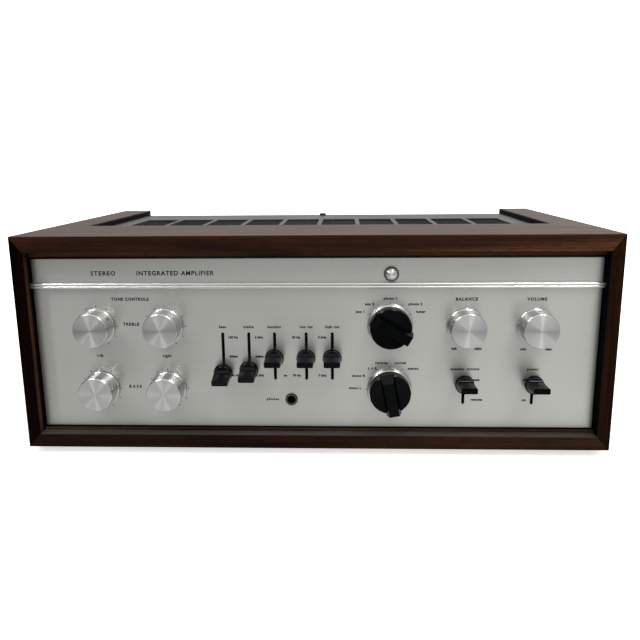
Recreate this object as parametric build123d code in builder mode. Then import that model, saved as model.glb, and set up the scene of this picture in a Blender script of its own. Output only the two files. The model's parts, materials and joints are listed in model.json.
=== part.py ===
from build123d import *
from math import cos, radians, sin
import os

# Integrated valve amplifier in a wooden sleeve cabinet.
# +Z is up, the front faces -Y and X runs to the right seen from the front. Millimetres.
# The origin is under the middle of the whole object, on the plane that the feet stand on.

os.makedirs("parts", exist_ok=True)

# --- Cabinet -------------------------------------------------------------------------------
FOOT_H = 6.0
CASE_W = 500.0
CASE_H = 184.7
CASE_D = 280.0
SIDE_T = 10.8
TOP_T = 13.9
BOTTOM_T = 12.0
EDGE = 0.5                # easing of the cabinet's edges
TOP_STRIP_D = 86.0        # front strip of the top board, ahead of the vent opening
TOP_SIDE_W = 32.5         # top board beside the vent opening
CASE_TOP = FOOT_H + CASE_H
INNER_X = CASE_W / 2 - SIDE_T
INNER_BOTTOM = FOOT_H + BOTTOM_T
INNER_TOP = CASE_TOP - TOP_T

# --- Controls: places of their axes on the front -------------------------------------------
PANEL_RECESS = 10.0
PANEL_T = 4.0
PANEL_HALF_W = 238.3
PANEL_BOTTOM = 21.9
PANEL_TOP = 171.0
TOP_FILLET_H = 4.4
BOTTOM_FILLET_H = 2.0
SUB_PANEL_T = 1.6
ROW_HIGH = 112.3
ROW_LOW = 56.5
TONE_X = (-185.3, -126.8)
BALANCE_X = 127.2
VOLUME_X = 185.4
SELECTOR_X = 64.3
BEAD_Z = 147.6
LAMP_X = 64.8
LAMP_Z = 157.1
JACK_X = -20.0
JACK_Z = 47.1

# --- Levers --------------------------------------------------------------------------------
LEVER_PIVOT = 60.0        # pivot axis behind the panel face
LEVER_SHORT = 84.0        # pivot to tip
LEVER_LONG = 86.9
LEVER_DISC_R = 8.1
LEVER_DISC_AT = 65.2      # pivot to the disc's back
LEVER_DISC_T = 1.5
FINGER_AT = LEVER_DISC_AT + LEVER_DISC_T
HOLLOW_SHARE = 0.40       # how far along the finger piece its hollow is centred
HOLLOW_UP = 7.3
HOLLOW_R = 4.5
BLADE_W = 13.4
BLADE_T = 4.8
TONGUE_T = 1.9
TONGUE_H = 13.0
LEVER_EYE_R = 5.0
PIN_R = 1.5
RUNNING_GAP = 0.05        # radial clearance of every turning shaft in its bearing
SLOT_W = 2.6
LONG_SLOT_L = 42.4
SHORT_SLOT_L = 26.2
LEVER_Z = 85.8
SWITCH_LEVER_Z = 56.4
THREE_WAY_SWING = 11.5    # either side of the middle position
TWO_WAY_SWING = 5.6

# Name, X, Z of the pivot, pivot to tip, and the angle it rests at (upwards is positive)
LEVERS = (
    ("bass_turnover_lever", -77.7, LEVER_Z, LEVER_SHORT, -THREE_WAY_SWING),
    ("treble_turnover_lever", -55.5, LEVER_Z, LEVER_SHORT, -9.2),
    ("tape_monitor_lever", -33.5, LEVER_Z, LEVER_SHORT, 0.0),
    ("low_cut_lever", -6.6, LEVER_Z, LEVER_SHORT, 0.0),
    ("high_cut_lever", 15.5, LEVER_Z, LEVER_SHORT, 0.0),
    ("speaker_lever", 127.2, SWITCH_LEVER_Z, LEVER_LONG, TWO_WAY_SWING),
    ("power_lever", 185.4, SWITCH_LEVER_Z, LEVER_LONG, TWO_WAY_SWING),
)

# Name, X, Z, the clock angle it is set to (clockwise from 12 is positive), and its grub screw's
KNOBS = (
    ("treble_knob_left", TONE_X[0], ROW_HIGH, 60.0, 60.0),
    ("treble_knob_right", TONE_X[1], ROW_HIGH, 60.0, 180.0),
    ("bass_knob_left", TONE_X[0], ROW_LOW, 0.0, 180.0),
    ("bass_knob_right", TONE_X[1], ROW_LOW, 0.0, 180.0),
    ("balance_knob", BALANCE_X, ROW_HIGH, 0.0, 180.0),
    ("volume_knob", VOLUME_X, ROW_HIGH, 0.0, 0.0),
)
# Name, X, Z, and the pointer's clock angle at rest
SELECTORS = (
    ("input_selector", SELECTOR_X, ROW_HIGH + 0.6, -60.0),
    ("mode_selector", SELECTOR_X, ROW_LOW, -11.0),
)

# --- Depths along Y, worked out so that the origin is under the middle ---------------------
TIP_PROUD = (LEVER_LONG * cos(radians(TWO_WAY_SWING)) + BLADE_T / 2 * sin(radians(TWO_WAY_SWING))
             - LEVER_PIVOT - PANEL_RECESS)
FRONT_Y = (TIP_PROUD - CASE_D) / 2
BACK_Y = FRONT_Y + CASE_D
PANEL_Y = FRONT_Y + PANEL_RECESS
SUB_PANEL_Y = PANEL_Y + PANEL_T
BEHIND_PANEL_Y = SUB_PANEL_Y + SUB_PANEL_T
PIVOT_Y = PANEL_Y + LEVER_PIVOT
REAR_PANEL_T = 1.6
REAR_Y = BACK_Y - 14.0                 # outer face of the rear panel
REAR_INSIDE_Y = REAR_Y - REAR_PANEL_T

# --- Knobs ---------------------------------------------------------------------------------
SHAFT_R = 3.0
BUSHING_R = 4.5
NUT_R = 6.3
CONTROL_HOLE_R = 7.2                   # in the front panel, hidden by the knob
KNOB_GAP = 0.8
KNOB_BASE_R = 15.6
KNOB_SIDE_R = 14.9
KNOB_FACE_R = 14.4
KNOB_OUT = 17.0
GRUB_R = 1.8
GRUB_OUT = 8.2                         # grub screw's hole, out from the panel
SKIRT_R = 19.2
SKIRT_OUT = 4.5
SELECTOR_R = 17.6
SELECTOR_BODY_OUT = 12.8
GRIP_TOP_W = 8.2
GRIP_ROOT_W = 12.6
GRIP_OUT = 20.0

# --- Vent cover ----------------------------------------------------------------------------
COVER_TOP = CASE_TOP - 5.7
COVER_T = 1.5
COVER_DROP = COVER_TOP - INNER_TOP + COVER_T + 0.2   # the side flanges reach under the top board
COVER_HALF_X = CASE_W / 2 - TOP_SIDE_W - 0.6
COVER_FRONT = FRONT_Y + TOP_STRIP_D + 0.6
COVER_BACK = FRONT_Y + 272.0
WINDOW_PITCH = 40.0
WINDOW_W = 35.4
WINDOW_COUNT = 10
WINDOW_FRONT = FRONT_Y + 116.0
WINDOW_BACK = FRONT_Y + 209.0

# --- Chassis -------------------------------------------------------------------------------
DECK_Z = 72.0
SHEET_T = 1.5
CHASSIS_HALF_X = 230.0
CHASSIS_FRONT = -42.0
CHASSIS_BOTTOM = 21.0
TUBE_X = (-84.0, -38.0, 8.0, 54.0)
POWER_TUBE_Y = 72.0
SIGNAL_TUBE_X = (-84.0, -38.0, 8.0, 54.0, 92.0)
SIGNAL_TUBE_Y = -8.0
POWER_SOCKET_R = 17.0
SIGNAL_SOCKET_R = 11.0
TRANSFORMER_X = -166.0
TRANSFORMER_Y = 62.0
OUTPUT_X = (120.0, 188.0)
OUTPUT_Y = 66.0
CAN_X = (-205.0, -164.0, -123.0)
CAN_Y = -14.0
CAN_R = 17.5


def dial_plane(x, z, clock_angle):
    """Plane on the panel's face, facing the front, whose Y axis points at the clock angle."""
    turn = radians(clock_angle)
    return Plane(origin=(x, PANEL_Y, z), x_dir=(cos(turn), 0, -sin(turn)), z_dir=(0, -1, 0))


def section_plane(dial):
    """Plane through a dial's axis: X is the radius, and -Y is the way out of the panel."""
    return Plane(origin=dial.origin, x_dir=dial.x_dir, z_dir=dial.y_dir)


def outward(points):
    """Outline given as (radius, distance out of the panel), in a section plane's own axes."""
    return [(radius, -out) for radius, out in points]


# ============================ Cabinet ======================================================
def side_board(side):
    """One side of the sleeve, mitred at 45 degrees top and bottom."""
    outer = side * CASE_W / 2
    inner = side * INNER_X
    with BuildPart() as board:
        with BuildSketch(Plane.XZ.offset(-FRONT_Y)):
            with BuildLine():
                Polyline(
                    (outer, FOOT_H), (outer, CASE_TOP), (inner, INNER_TOP), (inner, INNER_BOTTOM),
                    close=True)
            make_face()
        extrude(amount=-CASE_D)
        tips = board.edges().filter_by(Axis.Y).group_by(Axis.X)[0 if side < 0 else -1]
        chamfer(tips + board.edges().filter_by(Axis.Z), EDGE)
    return board


cabinet_left_side = side_board(-1)
cabinet_left_side.part.label = "cabinet_left_side"
export_step(cabinet_left_side.part, "parts/cabinet_left_side.step")

cabinet_right_side = side_board(1)
cabinet_right_side.part.label = "cabinet_right_side"
export_step(cabinet_right_side.part, "parts/cabinet_right_side.step")

# The top board is open to the back, so that the chassis slides in under its cover
with BuildPart() as cabinet_top_board:
    with BuildSketch(Plane.XZ.offset(-FRONT_Y)):
        with BuildLine():
            Polyline(
                (-CASE_W / 2, CASE_TOP), (CASE_W / 2, CASE_TOP), (INNER_X, INNER_TOP),
                (-INNER_X, INNER_TOP), close=True)
        make_face()
    extrude(amount=-CASE_D)
    tips = cabinet_top_board.edges().filter_by(Axis.Y).group_by(Axis.Z)[-1]
    chamfer(tips + cabinet_top_board.edges().filter_by(Axis.X), EDGE)
    with BuildSketch(Plane.XY.offset(INNER_TOP)):
        with Locations((0, FRONT_Y + TOP_STRIP_D)):
            Rectangle(CASE_W - 2 * TOP_SIDE_W, CASE_D, align=(Align.CENTER, Align.MIN))
    extrude(amount=TOP_T, mode=Mode.SUBTRACT)
cabinet_top_board.part.label = "cabinet_top_board"
export_step(cabinet_top_board.part, "parts/cabinet_top_board.step")

FOOT_X = 205.0
FOOT_FRONT_Y = FRONT_Y + 48.0
FOOT_BACK_Y = BACK_Y - 40.0
FOOT_PLACES = [(x, y) for x in (-FOOT_X, FOOT_X) for y in (FOOT_FRONT_Y, FOOT_BACK_Y)]
SCREW_R = 2.0

with BuildPart() as cabinet_bottom_board:
    with BuildSketch(Plane.XZ.offset(-FRONT_Y)):
        with BuildLine():
            Polyline(
                (-CASE_W / 2, FOOT_H), (CASE_W / 2, FOOT_H), (INNER_X, INNER_BOTTOM),
                (-INNER_X, INNER_BOTTOM), close=True)
        make_face()
    extrude(amount=-CASE_D)
    tips = cabinet_bottom_board.edges().filter_by(Axis.Y).group_by(Axis.Z)[0]
    chamfer(tips + cabinet_bottom_board.edges().filter_by(Axis.X), EDGE)
    with BuildSketch(Plane.XY.offset(FOOT_H)):
        # Two blocks of cooling slots, and pilot holes for the feet
        with GridLocations(60, 14, 6, 4):
            SlotOverall(42, 6)
        with Locations((0, 86)):
            with GridLocations(60, 14, 6, 3):
                SlotOverall(42, 6)
        with Locations(*FOOT_PLACES):
            Circle(SCREW_R)
    extrude(amount=BOTTOM_T, mode=Mode.SUBTRACT)
cabinet_bottom_board.part.label = "cabinet_bottom_board"
export_step(cabinet_bottom_board.part, "parts/cabinet_bottom_board.step")

# Wooden fillets that close the space above and below the front panel
with BuildPart() as panel_fillets:
    with BuildSketch(Plane.XZ.offset(-(PANEL_Y - 0.5))):
        with Locations((0, INNER_TOP)):
            Rectangle(2 * INNER_X - 0.2, TOP_FILLET_H, align=(Align.CENTER, Align.MAX))
        with Locations((0, INNER_BOTTOM)):
            Rectangle(2 * INNER_X - 0.2, BOTTOM_FILLET_H, align=(Align.CENTER, Align.MIN))
    extrude(amount=-PANEL_T)
panel_fillets.part.label = "panel_fillets"
export_step(panel_fillets.part, "parts/panel_fillets.step")

with BuildPart() as rubber_feet:
    with BuildSketch(Plane.XY):
        with Locations(*FOOT_PLACES):
            Circle(13.0)
    extrude(amount=FOOT_H, taper=-8)
    chamfer(rubber_feet.faces().group_by(Axis.Z)[0].edges(), 0.8)
    with BuildSketch(Plane.XY):
        with Locations(*FOOT_PLACES):
            Circle(5.0)
    extrude(amount=3.4, mode=Mode.SUBTRACT)
    with BuildSketch(Plane.XY.offset(3.4)):
        with Locations(*FOOT_PLACES):
            Circle(SCREW_R)
    extrude(amount=FOOT_H, mode=Mode.SUBTRACT)
rubber_feet.part.label = "rubber_feet"
export_step(rubber_feet.part, "parts/rubber_feet.step")

# ============================ Front panel ==================================================
KNOB_PLACES = [(x, z) for _, x, z, _, _ in KNOBS]
SELECTOR_PLACES = [(x, z) for _, x, z, _ in SELECTORS]
LONG_SLOT_PLACES = [(x, z) for _, x, z, tip, _ in LEVERS if tip == LEVER_SHORT]
SHORT_SLOT_PLACES = [(x, z) for _, x, z, tip, _ in LEVERS if tip == LEVER_LONG]
BEAD_H = 4.6
BEAD_GROOVE = 0.8
BEAD_HALF_L = INNER_X - 0.2
LAMP_BARREL_R = 5.0
JACK_BUSHING_R = 4.6

with BuildPart() as front_panel:
    with BuildSketch(Plane.XZ.offset(-PANEL_Y)):
        with Locations((0, (PANEL_BOTTOM + PANEL_TOP) / 2)):
            Rectangle(2 * PANEL_HALF_W, PANEL_TOP - PANEL_BOTTOM)
    extrude(amount=-PANEL_T)
    chamfer(front_panel.faces().sort_by(Axis.Y)[0].edges(), 0.7)
    with BuildSketch(Plane.XZ.offset(-PANEL_Y)):
        with Locations(*KNOB_PLACES, *SELECTOR_PLACES):
            Circle(CONTROL_HOLE_R)
        with Locations(*LONG_SLOT_PLACES):
            SlotOverall(LONG_SLOT_L, SLOT_W, rotation=90)
        with Locations(*SHORT_SLOT_PLACES):
            SlotOverall(SHORT_SLOT_L, SLOT_W, rotation=90)
        with Locations((JACK_X, JACK_Z)):
            Circle(JACK_BUSHING_R + 0.2)
        with Locations((LAMP_X, LAMP_Z)):
            Circle(LAMP_BARREL_R + 0.2)
    extrude(amount=-PANEL_T, mode=Mode.SUBTRACT)
    with BuildSketch(Plane.XZ.offset(-PANEL_Y)):
        with Locations((0, BEAD_Z)):
            Rectangle(2 * PANEL_HALF_W, BEAD_H)
    extrude(amount=-BEAD_GROOVE, mode=Mode.SUBTRACT)
front_panel.part.label = "front_panel"
export_step(front_panel.part, "parts/front_panel.step")

# Polished double bead let into the panel's groove
with BuildPart() as panel_bead:
    with BuildSketch(Plane.YZ.offset(-BEAD_HALF_L)):
        with Locations((PANEL_Y + BEAD_GROOVE, BEAD_Z)):
            Rectangle(BEAD_GROOVE + 1.6, BEAD_H, align=(Align.MAX, Align.CENTER))
        with Locations(
                (PANEL_Y - 1.6, BEAD_Z - BEAD_H / 4), (PANEL_Y - 1.6, BEAD_Z + BEAD_H / 4)):
            Circle(BEAD_H / 4)
    extrude(amount=2 * BEAD_HALF_L)
panel_bead.part.label = "panel_bead"
export_step(panel_bead.part, "parts/panel_bead.step")

with BuildPart() as sub_panel:
    with BuildSketch(Plane.XZ.offset(-SUB_PANEL_Y)):
        with Locations((0, (INNER_TOP + INNER_BOTTOM) / 2)):
            Rectangle(2 * INNER_X - 0.6, INNER_TOP - INNER_BOTTOM - 0.6)
        with Locations(*KNOB_PLACES, *SELECTOR_PLACES):
            Circle(BUSHING_R + 0.1, mode=Mode.SUBTRACT)
        with Locations(*LONG_SLOT_PLACES):
            Rectangle(6.0, LONG_SLOT_L + 4, mode=Mode.SUBTRACT)
        with Locations(*SHORT_SLOT_PLACES):
            Rectangle(6.0, SHORT_SLOT_L + 4, mode=Mode.SUBTRACT)
        with Locations((JACK_X, JACK_Z)):
            Circle(JACK_BUSHING_R + 0.2, mode=Mode.SUBTRACT)
        with Locations((LAMP_X, LAMP_Z)):
            Circle(LAMP_BARREL_R + 0.2, mode=Mode.SUBTRACT)
    extrude(amount=-SUB_PANEL_T)
sub_panel.part.label = "sub_panel"
export_step(sub_panel.part, "parts/sub_panel.step")

# ============================ Knobs and their shafts =======================================
KNOB_OUTLINE = (
    (8.5, 4.8), (8.5, KNOB_GAP), (KNOB_BASE_R - 0.4, KNOB_GAP), (KNOB_BASE_R, 1.2),
    (KNOB_BASE_R, 2.2), (KNOB_BASE_R - 0.3, 2.6), (KNOB_SIDE_R, 2.8), (KNOB_SIDE_R, KNOB_OUT - 3.0),
    (KNOB_FACE_R, KNOB_OUT - 0.4), (KNOB_FACE_R - 0.4, KNOB_OUT), (0.0, KNOB_OUT), (0.0, 13.0),
    (SHAFT_R, 13.0), (SHAFT_R, 4.8))

for name, x, z, _, grub_angle in KNOBS:
    dial = dial_plane(x, z, grub_angle)
    with BuildPart() as knob:
        with BuildSketch(section_plane(dial)):
            with BuildLine():
                Polyline(*outward(KNOB_OUTLINE), close=True)
            make_face()
        revolve(axis=Axis(dial.origin, dial.z_dir))
        # Blind hole of the grub screw
        with BuildSketch(Plane(dial.origin + dial.y_dir * 8.0, dial.x_dir, dial.y_dir)):
            with Locations((0, -GRUB_OUT)):
                Circle(GRUB_R)
        extrude(amount=KNOB_SIDE_R, mode=Mode.SUBTRACT)
    knob.part.label = name
    export_step(knob.part, f"parts/{name}.step")

    with BuildPart() as shaft:
        with BuildSketch(dial.offset(13.0)):
            Circle(SHAFT_R)
        extrude(amount=-(13.0 + PANEL_T + SUB_PANEL_T + 9.0))
        chamfer(shaft.edges().sort_by(Axis.Y)[-1], 0.4)
    shaft.part.label = name.replace("knob", "shaft")
    export_step(shaft.part, f"parts/{name.replace('knob', 'shaft')}.step")

# ============================ Selector knobs ===============================================
SKIRT_OUTLINE = (
    (8.0, SKIRT_OUT), (8.0, KNOB_GAP), (SKIRT_R - 0.3, KNOB_GAP), (SKIRT_R, 1.1), (SKIRT_R, 1.9),
    (SELECTOR_R + 0.5, SKIRT_OUT - 0.2), (SELECTOR_R + 0.2, SKIRT_OUT))
SELECTOR_OUTLINE = (
    (SHAFT_R, SKIRT_OUT), (SELECTOR_R, SKIRT_OUT), (SELECTOR_R - 0.3, SELECTOR_BODY_OUT - 0.9),
    (SELECTOR_R - 1.2, SELECTOR_BODY_OUT), (0.0, SELECTOR_BODY_OUT - 0.6), (0.0, 9.5),
    (SHAFT_R, 9.5))
GRIP_OUTLINE = (
    (-SELECTOR_R, 9.8), (-SELECTOR_R, GRIP_OUT - 0.8), (0.8 - SELECTOR_R, GRIP_OUT),
    (SELECTOR_R - 6.0, GRIP_OUT - 0.6), (SELECTOR_R, SELECTOR_BODY_OUT), (SELECTOR_R, 9.8))
GRIP_SECTION = (
    (-GRIP_ROOT_W / 2, 9.8), (-GRIP_ROOT_W / 2, SELECTOR_BODY_OUT - 0.6), (-GRIP_TOP_W / 2, GRIP_OUT),
    (GRIP_TOP_W / 2, GRIP_OUT), (GRIP_ROOT_W / 2, SELECTOR_BODY_OUT - 0.6), (GRIP_ROOT_W / 2, 9.8))
SELECTOR_SHAFT_BACK = 44.0

for name, x, z, angle in SELECTORS:
    dial = dial_plane(x, z, angle)
    with BuildPart() as skirt:
        with BuildSketch(section_plane(dial)):
            with BuildLine():
                Polyline(*outward(SKIRT_OUTLINE), close=True)
            make_face()
        revolve(axis=Axis(dial.origin, dial.z_dir))
    skirt.part.label = f"{name}_skirt"
    export_step(skirt.part, f"parts/{name}_skirt.step")

    # Grip bar whose flanks lean in and whose pointer end is bevelled
    with BuildPart() as grip:
        with BuildSketch(Plane(origin=dial.origin, x_dir=dial.y_dir, z_dir=-dial.x_dir)):
            with BuildLine():
                Polyline(*outward(GRIP_OUTLINE), close=True)
            make_face()
        extrude(amount=GRIP_ROOT_W / 2, both=True)
        with BuildSketch(Plane(origin=dial.origin, x_dir=dial.x_dir, z_dir=-dial.y_dir)):
            with BuildLine():
                Polyline(*GRIP_SECTION, close=True)
            make_face()
        extrude(amount=SELECTOR_R, both=True, mode=Mode.INTERSECT)

    with BuildPart() as pointer:
        with BuildSketch(section_plane(dial)):
            with BuildLine():
                Polyline(*outward(SELECTOR_OUTLINE), close=True)
            make_face()
        revolve(axis=Axis(dial.origin, dial.z_dir))
        add(grip.part)
    pointer.part.label = f"{name}_knob"
    export_step(pointer.part, f"parts/{name}_knob.step")

    with BuildPart() as shaft:
        with BuildSketch(dial.offset(9.5)):
            Circle(SHAFT_R)
        extrude(amount=-(9.5 + PANEL_T + SUB_PANEL_T + SELECTOR_SHAFT_BACK))
    shaft.part.label = f"{name}_shaft"
    export_step(shaft.part, f"parts/{name}_shaft.step")

# ============================ Levers =======================================================
for name, x, z, tip, angle in LEVERS:
    tilt = radians(angle)
    along = (0, -cos(tilt), sin(tilt))
    pivot = (x, PIVOT_Y, z)
    across_lever = Plane(origin=pivot, x_dir=(1, 0, 0), z_dir=along)
    beside_lever = Plane(origin=pivot, x_dir=along, z_dir=(-1, 0, 0))
    with BuildPart() as lever:
        with BuildSketch(beside_lever):
            Circle(LEVER_EYE_R)
            with BuildLine():
                Polyline(
                    (0, -LEVER_EYE_R), (38, -LEVER_EYE_R), (56, -TONGUE_H / 2),
                    (LEVER_DISC_AT + 0.5, -TONGUE_H / 2), (LEVER_DISC_AT + 0.5, TONGUE_H / 2),
                    (56, TONGUE_H / 2), (38, LEVER_EYE_R), (0, LEVER_EYE_R), close=True)
            make_face()
            Circle(PIN_R + RUNNING_GAP, mode=Mode.SUBTRACT)
        extrude(amount=TONGUE_T / 2, both=True)
        with BuildSketch(across_lever.offset(LEVER_DISC_AT)):
            Circle(LEVER_DISC_R)
        extrude(amount=LEVER_DISC_T)
        # Finger piece: from a round root to a flat blade, hollowed across the top
        with BuildSketch(across_lever.offset(FINGER_AT)):
            Circle(LEVER_DISC_R - 0.5)
        with BuildSketch(across_lever.offset(tip)):
            RectangleRounded(BLADE_W, BLADE_T, 1.0)
        loft()
        with BuildSketch(beside_lever):
            with Locations((FINGER_AT + HOLLOW_SHARE * (tip - FINGER_AT), HOLLOW_UP)):
                Circle(HOLLOW_R)
        extrude(amount=LEVER_DISC_R, both=True, mode=Mode.SUBTRACT)
    lever.part.label = name
    export_step(lever.part, f"parts/{name}.step")

# ============================ Switches, potentiometers, jack and lamp ======================
def bushing_outline(inside_r, back):
    """Bushing with its nut, from the front end back to a control's own body."""
    return (
        (inside_r, 1.5), (BUSHING_R - 0.4, 1.5), (BUSHING_R, 1.1), (BUSHING_R, -2.0),
        (NUT_R, -2.0), (NUT_R, -PANEL_T), (BUSHING_R, -PANEL_T), (BUSHING_R, -back),
        (inside_r, -back))


CONTROL_BACK = PANEL_T + SUB_PANEL_T
BORE_R = SHAFT_R + RUNNING_GAP

with BuildPart() as one_potentiometer:
    with BuildSketch(section_plane(dial_plane(0, 0, 0))):
        with BuildLine():
            Polyline(*outward(bushing_outline(BORE_R, CONTROL_BACK + 2.0)), close=True)
        make_face()
    revolve(axis=Axis((0, PANEL_Y, 0), (0, 1, 0)))
    with BuildSketch(Plane.XZ.offset(-BEHIND_PANEL_Y)):
        Circle(12.0)
        with Locations((-5, -13), (0, -14), (5, -13)):
            Rectangle(2.0, 8.0)
        Circle(BORE_R, mode=Mode.SUBTRACT)
    extrude(amount=-2.0)
    with BuildSketch(Plane.XZ.offset(-BEHIND_PANEL_Y - 2.0)):
        Circle(12.5)
        Circle(BORE_R, mode=Mode.SUBTRACT)
    extrude(amount=-8.0)
    with BuildSketch(Plane.XZ.offset(-BEHIND_PANEL_Y - 10.0)):
        Circle(12.5)
    extrude(amount=-2.0)
    chamfer(one_potentiometer.faces().sort_by(Axis.Y)[-1].edges(), 0.8)

with BuildPart() as potentiometers:
    with Locations(*[(x, 0, z) for x, z in KNOB_PLACES]):
        add(one_potentiometer.part)
potentiometers.part.label = "potentiometers"
export_step(potentiometers.part, "parts/potentiometers.step")

WAFER_PLACES = (14.0, 26.0, 38.0)
with BuildPart() as one_rotary_switch:
    with BuildSketch(section_plane(dial_plane(0, 0, 0))):
        with BuildLine():
            Polyline(*outward(bushing_outline(BORE_R, CONTROL_BACK + 2.0)), close=True)
        make_face()
    revolve(axis=Axis((0, PANEL_Y, 0), (0, 1, 0)))
    with BuildSketch(Plane.XZ.offset(-BEHIND_PANEL_Y)):
        RectangleRounded(36, 30, 4)
        Circle(BORE_R, mode=Mode.SUBTRACT)
    extrude(amount=-3.0)
    with BuildSketch(Plane.XZ.offset(-BEHIND_PANEL_Y - 2.0)):
        with Locations((-14.0, 0), (14.0, 0)):
            Circle(1.6)
    extrude(amount=-(WAFER_PLACES[-1] + 3.0))
    for place in WAFER_PLACES:
        with BuildSketch(Plane.XZ.offset(-BEHIND_PANEL_Y - place)):
            Circle(16.5)
            with PolarLocations(17.0, 12):
                Rectangle(4.0, 2.0)
            Circle(BORE_R + 0.4, mode=Mode.SUBTRACT)
        extrude(amount=-1.6)

with BuildPart() as rotary_switches:
    with Locations(*[(x, 0, z) for x, z in SELECTOR_PLACES]):
        add(one_rotary_switch.part)
rotary_switches.part.label = "rotary_switches"
export_step(rotary_switches.part, "parts/rotary_switches.step")

CHEEK_INSIDE = 4.2
CHEEK_T = 1.4
FRAME_H = 30.0
with BuildPart() as one_lever_switch:
    # Steel frame: two cheeks and a back wall, open to the front, with the pivot pin across
    with BuildSketch(Plane.XY.offset(-FRAME_H / 2)):
        with Locations(*[(side * (CHEEK_INSIDE + CHEEK_T / 2), BEHIND_PANEL_Y) for side in (-1, 1)]):
            Rectangle(CHEEK_T, PIVOT_Y + 8.0 - BEHIND_PANEL_Y, align=(Align.CENTER, Align.MIN))
        with Locations((0, PIVOT_Y + 8.0)):
            Rectangle(2 * (CHEEK_INSIDE + CHEEK_T), CHEEK_T, align=(Align.CENTER, Align.MIN))
    extrude(amount=FRAME_H)
    with BuildSketch(Plane.YZ.offset(-CHEEK_INSIDE - CHEEK_T)):
        with Locations((PIVOT_Y, 0)):
            Circle(PIN_R)
    extrude(amount=2 * (CHEEK_INSIDE + CHEEK_T))
    # Contact block on the back wall
    with BuildSketch(Plane.XY.offset(-10)):
        with Locations((0, PIVOT_Y + 8.0 + CHEEK_T)):
            Rectangle(9.0, 6.0, align=(Align.CENTER, Align.MIN))
    extrude(amount=20)

with BuildPart() as lever_switches:
    with Locations(*[(x, 0, z) for _, x, z, _, _ in LEVERS]):
        add(one_lever_switch.part)
lever_switches.part.label = "lever_switches"
export_step(lever_switches.part, "parts/lever_switches.step")

JACK_BORE_R = 3.2
JACK_RING_R = 5.3
with BuildPart() as phones_jack:
    jack_dial = dial_plane(JACK_X, JACK_Z, 0)
    with BuildSketch(section_plane(jack_dial)):
        with BuildLine():
            Polyline(
                *outward((
                    (JACK_BORE_R, 0.9), (JACK_BORE_R + 0.3, 1.2), (JACK_RING_R - 0.4, 1.2),
                    (JACK_RING_R, 0.8), (JACK_RING_R, 0.0), (JACK_BUSHING_R, 0.0),
                    (JACK_BUSHING_R, -CONTROL_BACK), (6.5, -CONTROL_BACK), (6.5, -18.0),
                    (JACK_BORE_R, -18.0))), close=True)
        make_face()
    revolve(axis=Axis(jack_dial.origin, jack_dial.z_dir))
    # Insulated body with the contact springs' tags
    with BuildSketch(Plane.XZ.offset(-PANEL_Y - 18.0)):
        with Locations((JACK_X, JACK_Z)):
            Rectangle(14, 17)
            Circle(JACK_BORE_R + 1.0, mode=Mode.SUBTRACT)
    extrude(amount=-20.0)
    with BuildSketch(Plane.XZ.offset(-PANEL_Y - 38.0)):
        with Locations((JACK_X, JACK_Z)):
            with GridLocations(9, 11, 2, 2):
                Rectangle(1.0, 2.6)
    extrude(amount=-5.0)
phones_jack.part.label = "phones_jack"
export_step(phones_jack.part, "parts/phones_jack.step")

lamp_dial = dial_plane(LAMP_X, LAMP_Z, 0)
with BuildPart() as pilot_lamp_bezel:
    with BuildSketch(section_plane(lamp_dial)):
        with BuildLine():
            Polyline(
                *outward((
                    (4.3, 1.4), (4.7, 2.2), (5.6, 2.2), (6.3, 1.2), (6.3, 0.0),
                    (LAMP_BARREL_R, 0.0), (LAMP_BARREL_R, -22.0), (4.3, -22.0))), close=True)
        make_face()
    revolve(axis=Axis(lamp_dial.origin, lamp_dial.z_dir))
pilot_lamp_bezel.part.label = "pilot_lamp_bezel"
export_step(pilot_lamp_bezel.part, "parts/pilot_lamp_bezel.step")

# Clear twelve-sided cone whose head covers the bezel's inner edge, with a plain stem
with BuildPart() as pilot_lamp_jewel:
    with BuildSketch(lamp_dial.offset(-12.0)):
        Circle(4.1)
    extrude(amount=14.3)
    with BuildSketch(lamp_dial.offset(2.3)):
        RegularPolygon(4.6, 12)
    extrude(amount=1.7, taper=50)
pilot_lamp_jewel.part.label = "pilot_lamp_jewel"
export_step(pilot_lamp_jewel.part, "parts/pilot_lamp_jewel.step")

# ============================ Vent cover ===================================================
with BuildPart() as vent_cover:
    with BuildSketch(Plane.XY.offset(COVER_TOP)):
        with Locations((0, COVER_FRONT)):
            Rectangle(2 * COVER_HALF_X, COVER_BACK - COVER_FRONT, align=(Align.CENTER, Align.MIN))
        with Locations((0, (WINDOW_FRONT + WINDOW_BACK) / 2)):
            with GridLocations(WINDOW_PITCH, 1, WINDOW_COUNT, 1):
                RectangleRounded(WINDOW_W, WINDOW_BACK - WINDOW_FRONT, 1.2, mode=Mode.SUBTRACT)
        with Locations((0, COVER_BACK - 8.0)):
            Circle(SCREW_R, mode=Mode.SUBTRACT)
    extrude(amount=-COVER_T)
    # Side flanges that lap under the wooden top, and a lip along the back
    with BuildSketch(Plane.XZ.offset(-COVER_FRONT)):
        for side in (-1, 1):
            with Locations((side * COVER_HALF_X, COVER_TOP)):
                Rectangle(
                    COVER_T, COVER_DROP, align=(Align.MIN if side < 0 else Align.MAX, Align.MAX))
            with Locations((side * (COVER_HALF_X - COVER_T), COVER_TOP - COVER_DROP)):
                Rectangle(
                    14.0, COVER_T, align=(Align.MAX if side < 0 else Align.MIN, Align.MIN))
    extrude(amount=-(COVER_BACK - COVER_FRONT - 8.0))
    with BuildSketch(Plane.XY.offset(COVER_TOP)):
        with Locations((0, COVER_BACK)):
            Rectangle(2 * COVER_HALF_X, COVER_T, align=(Align.CENTER, Align.MAX))
    extrude(amount=-9.0)
vent_cover.part.label = "vent_cover"
export_step(vent_cover.part, "parts/vent_cover.step")

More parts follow.
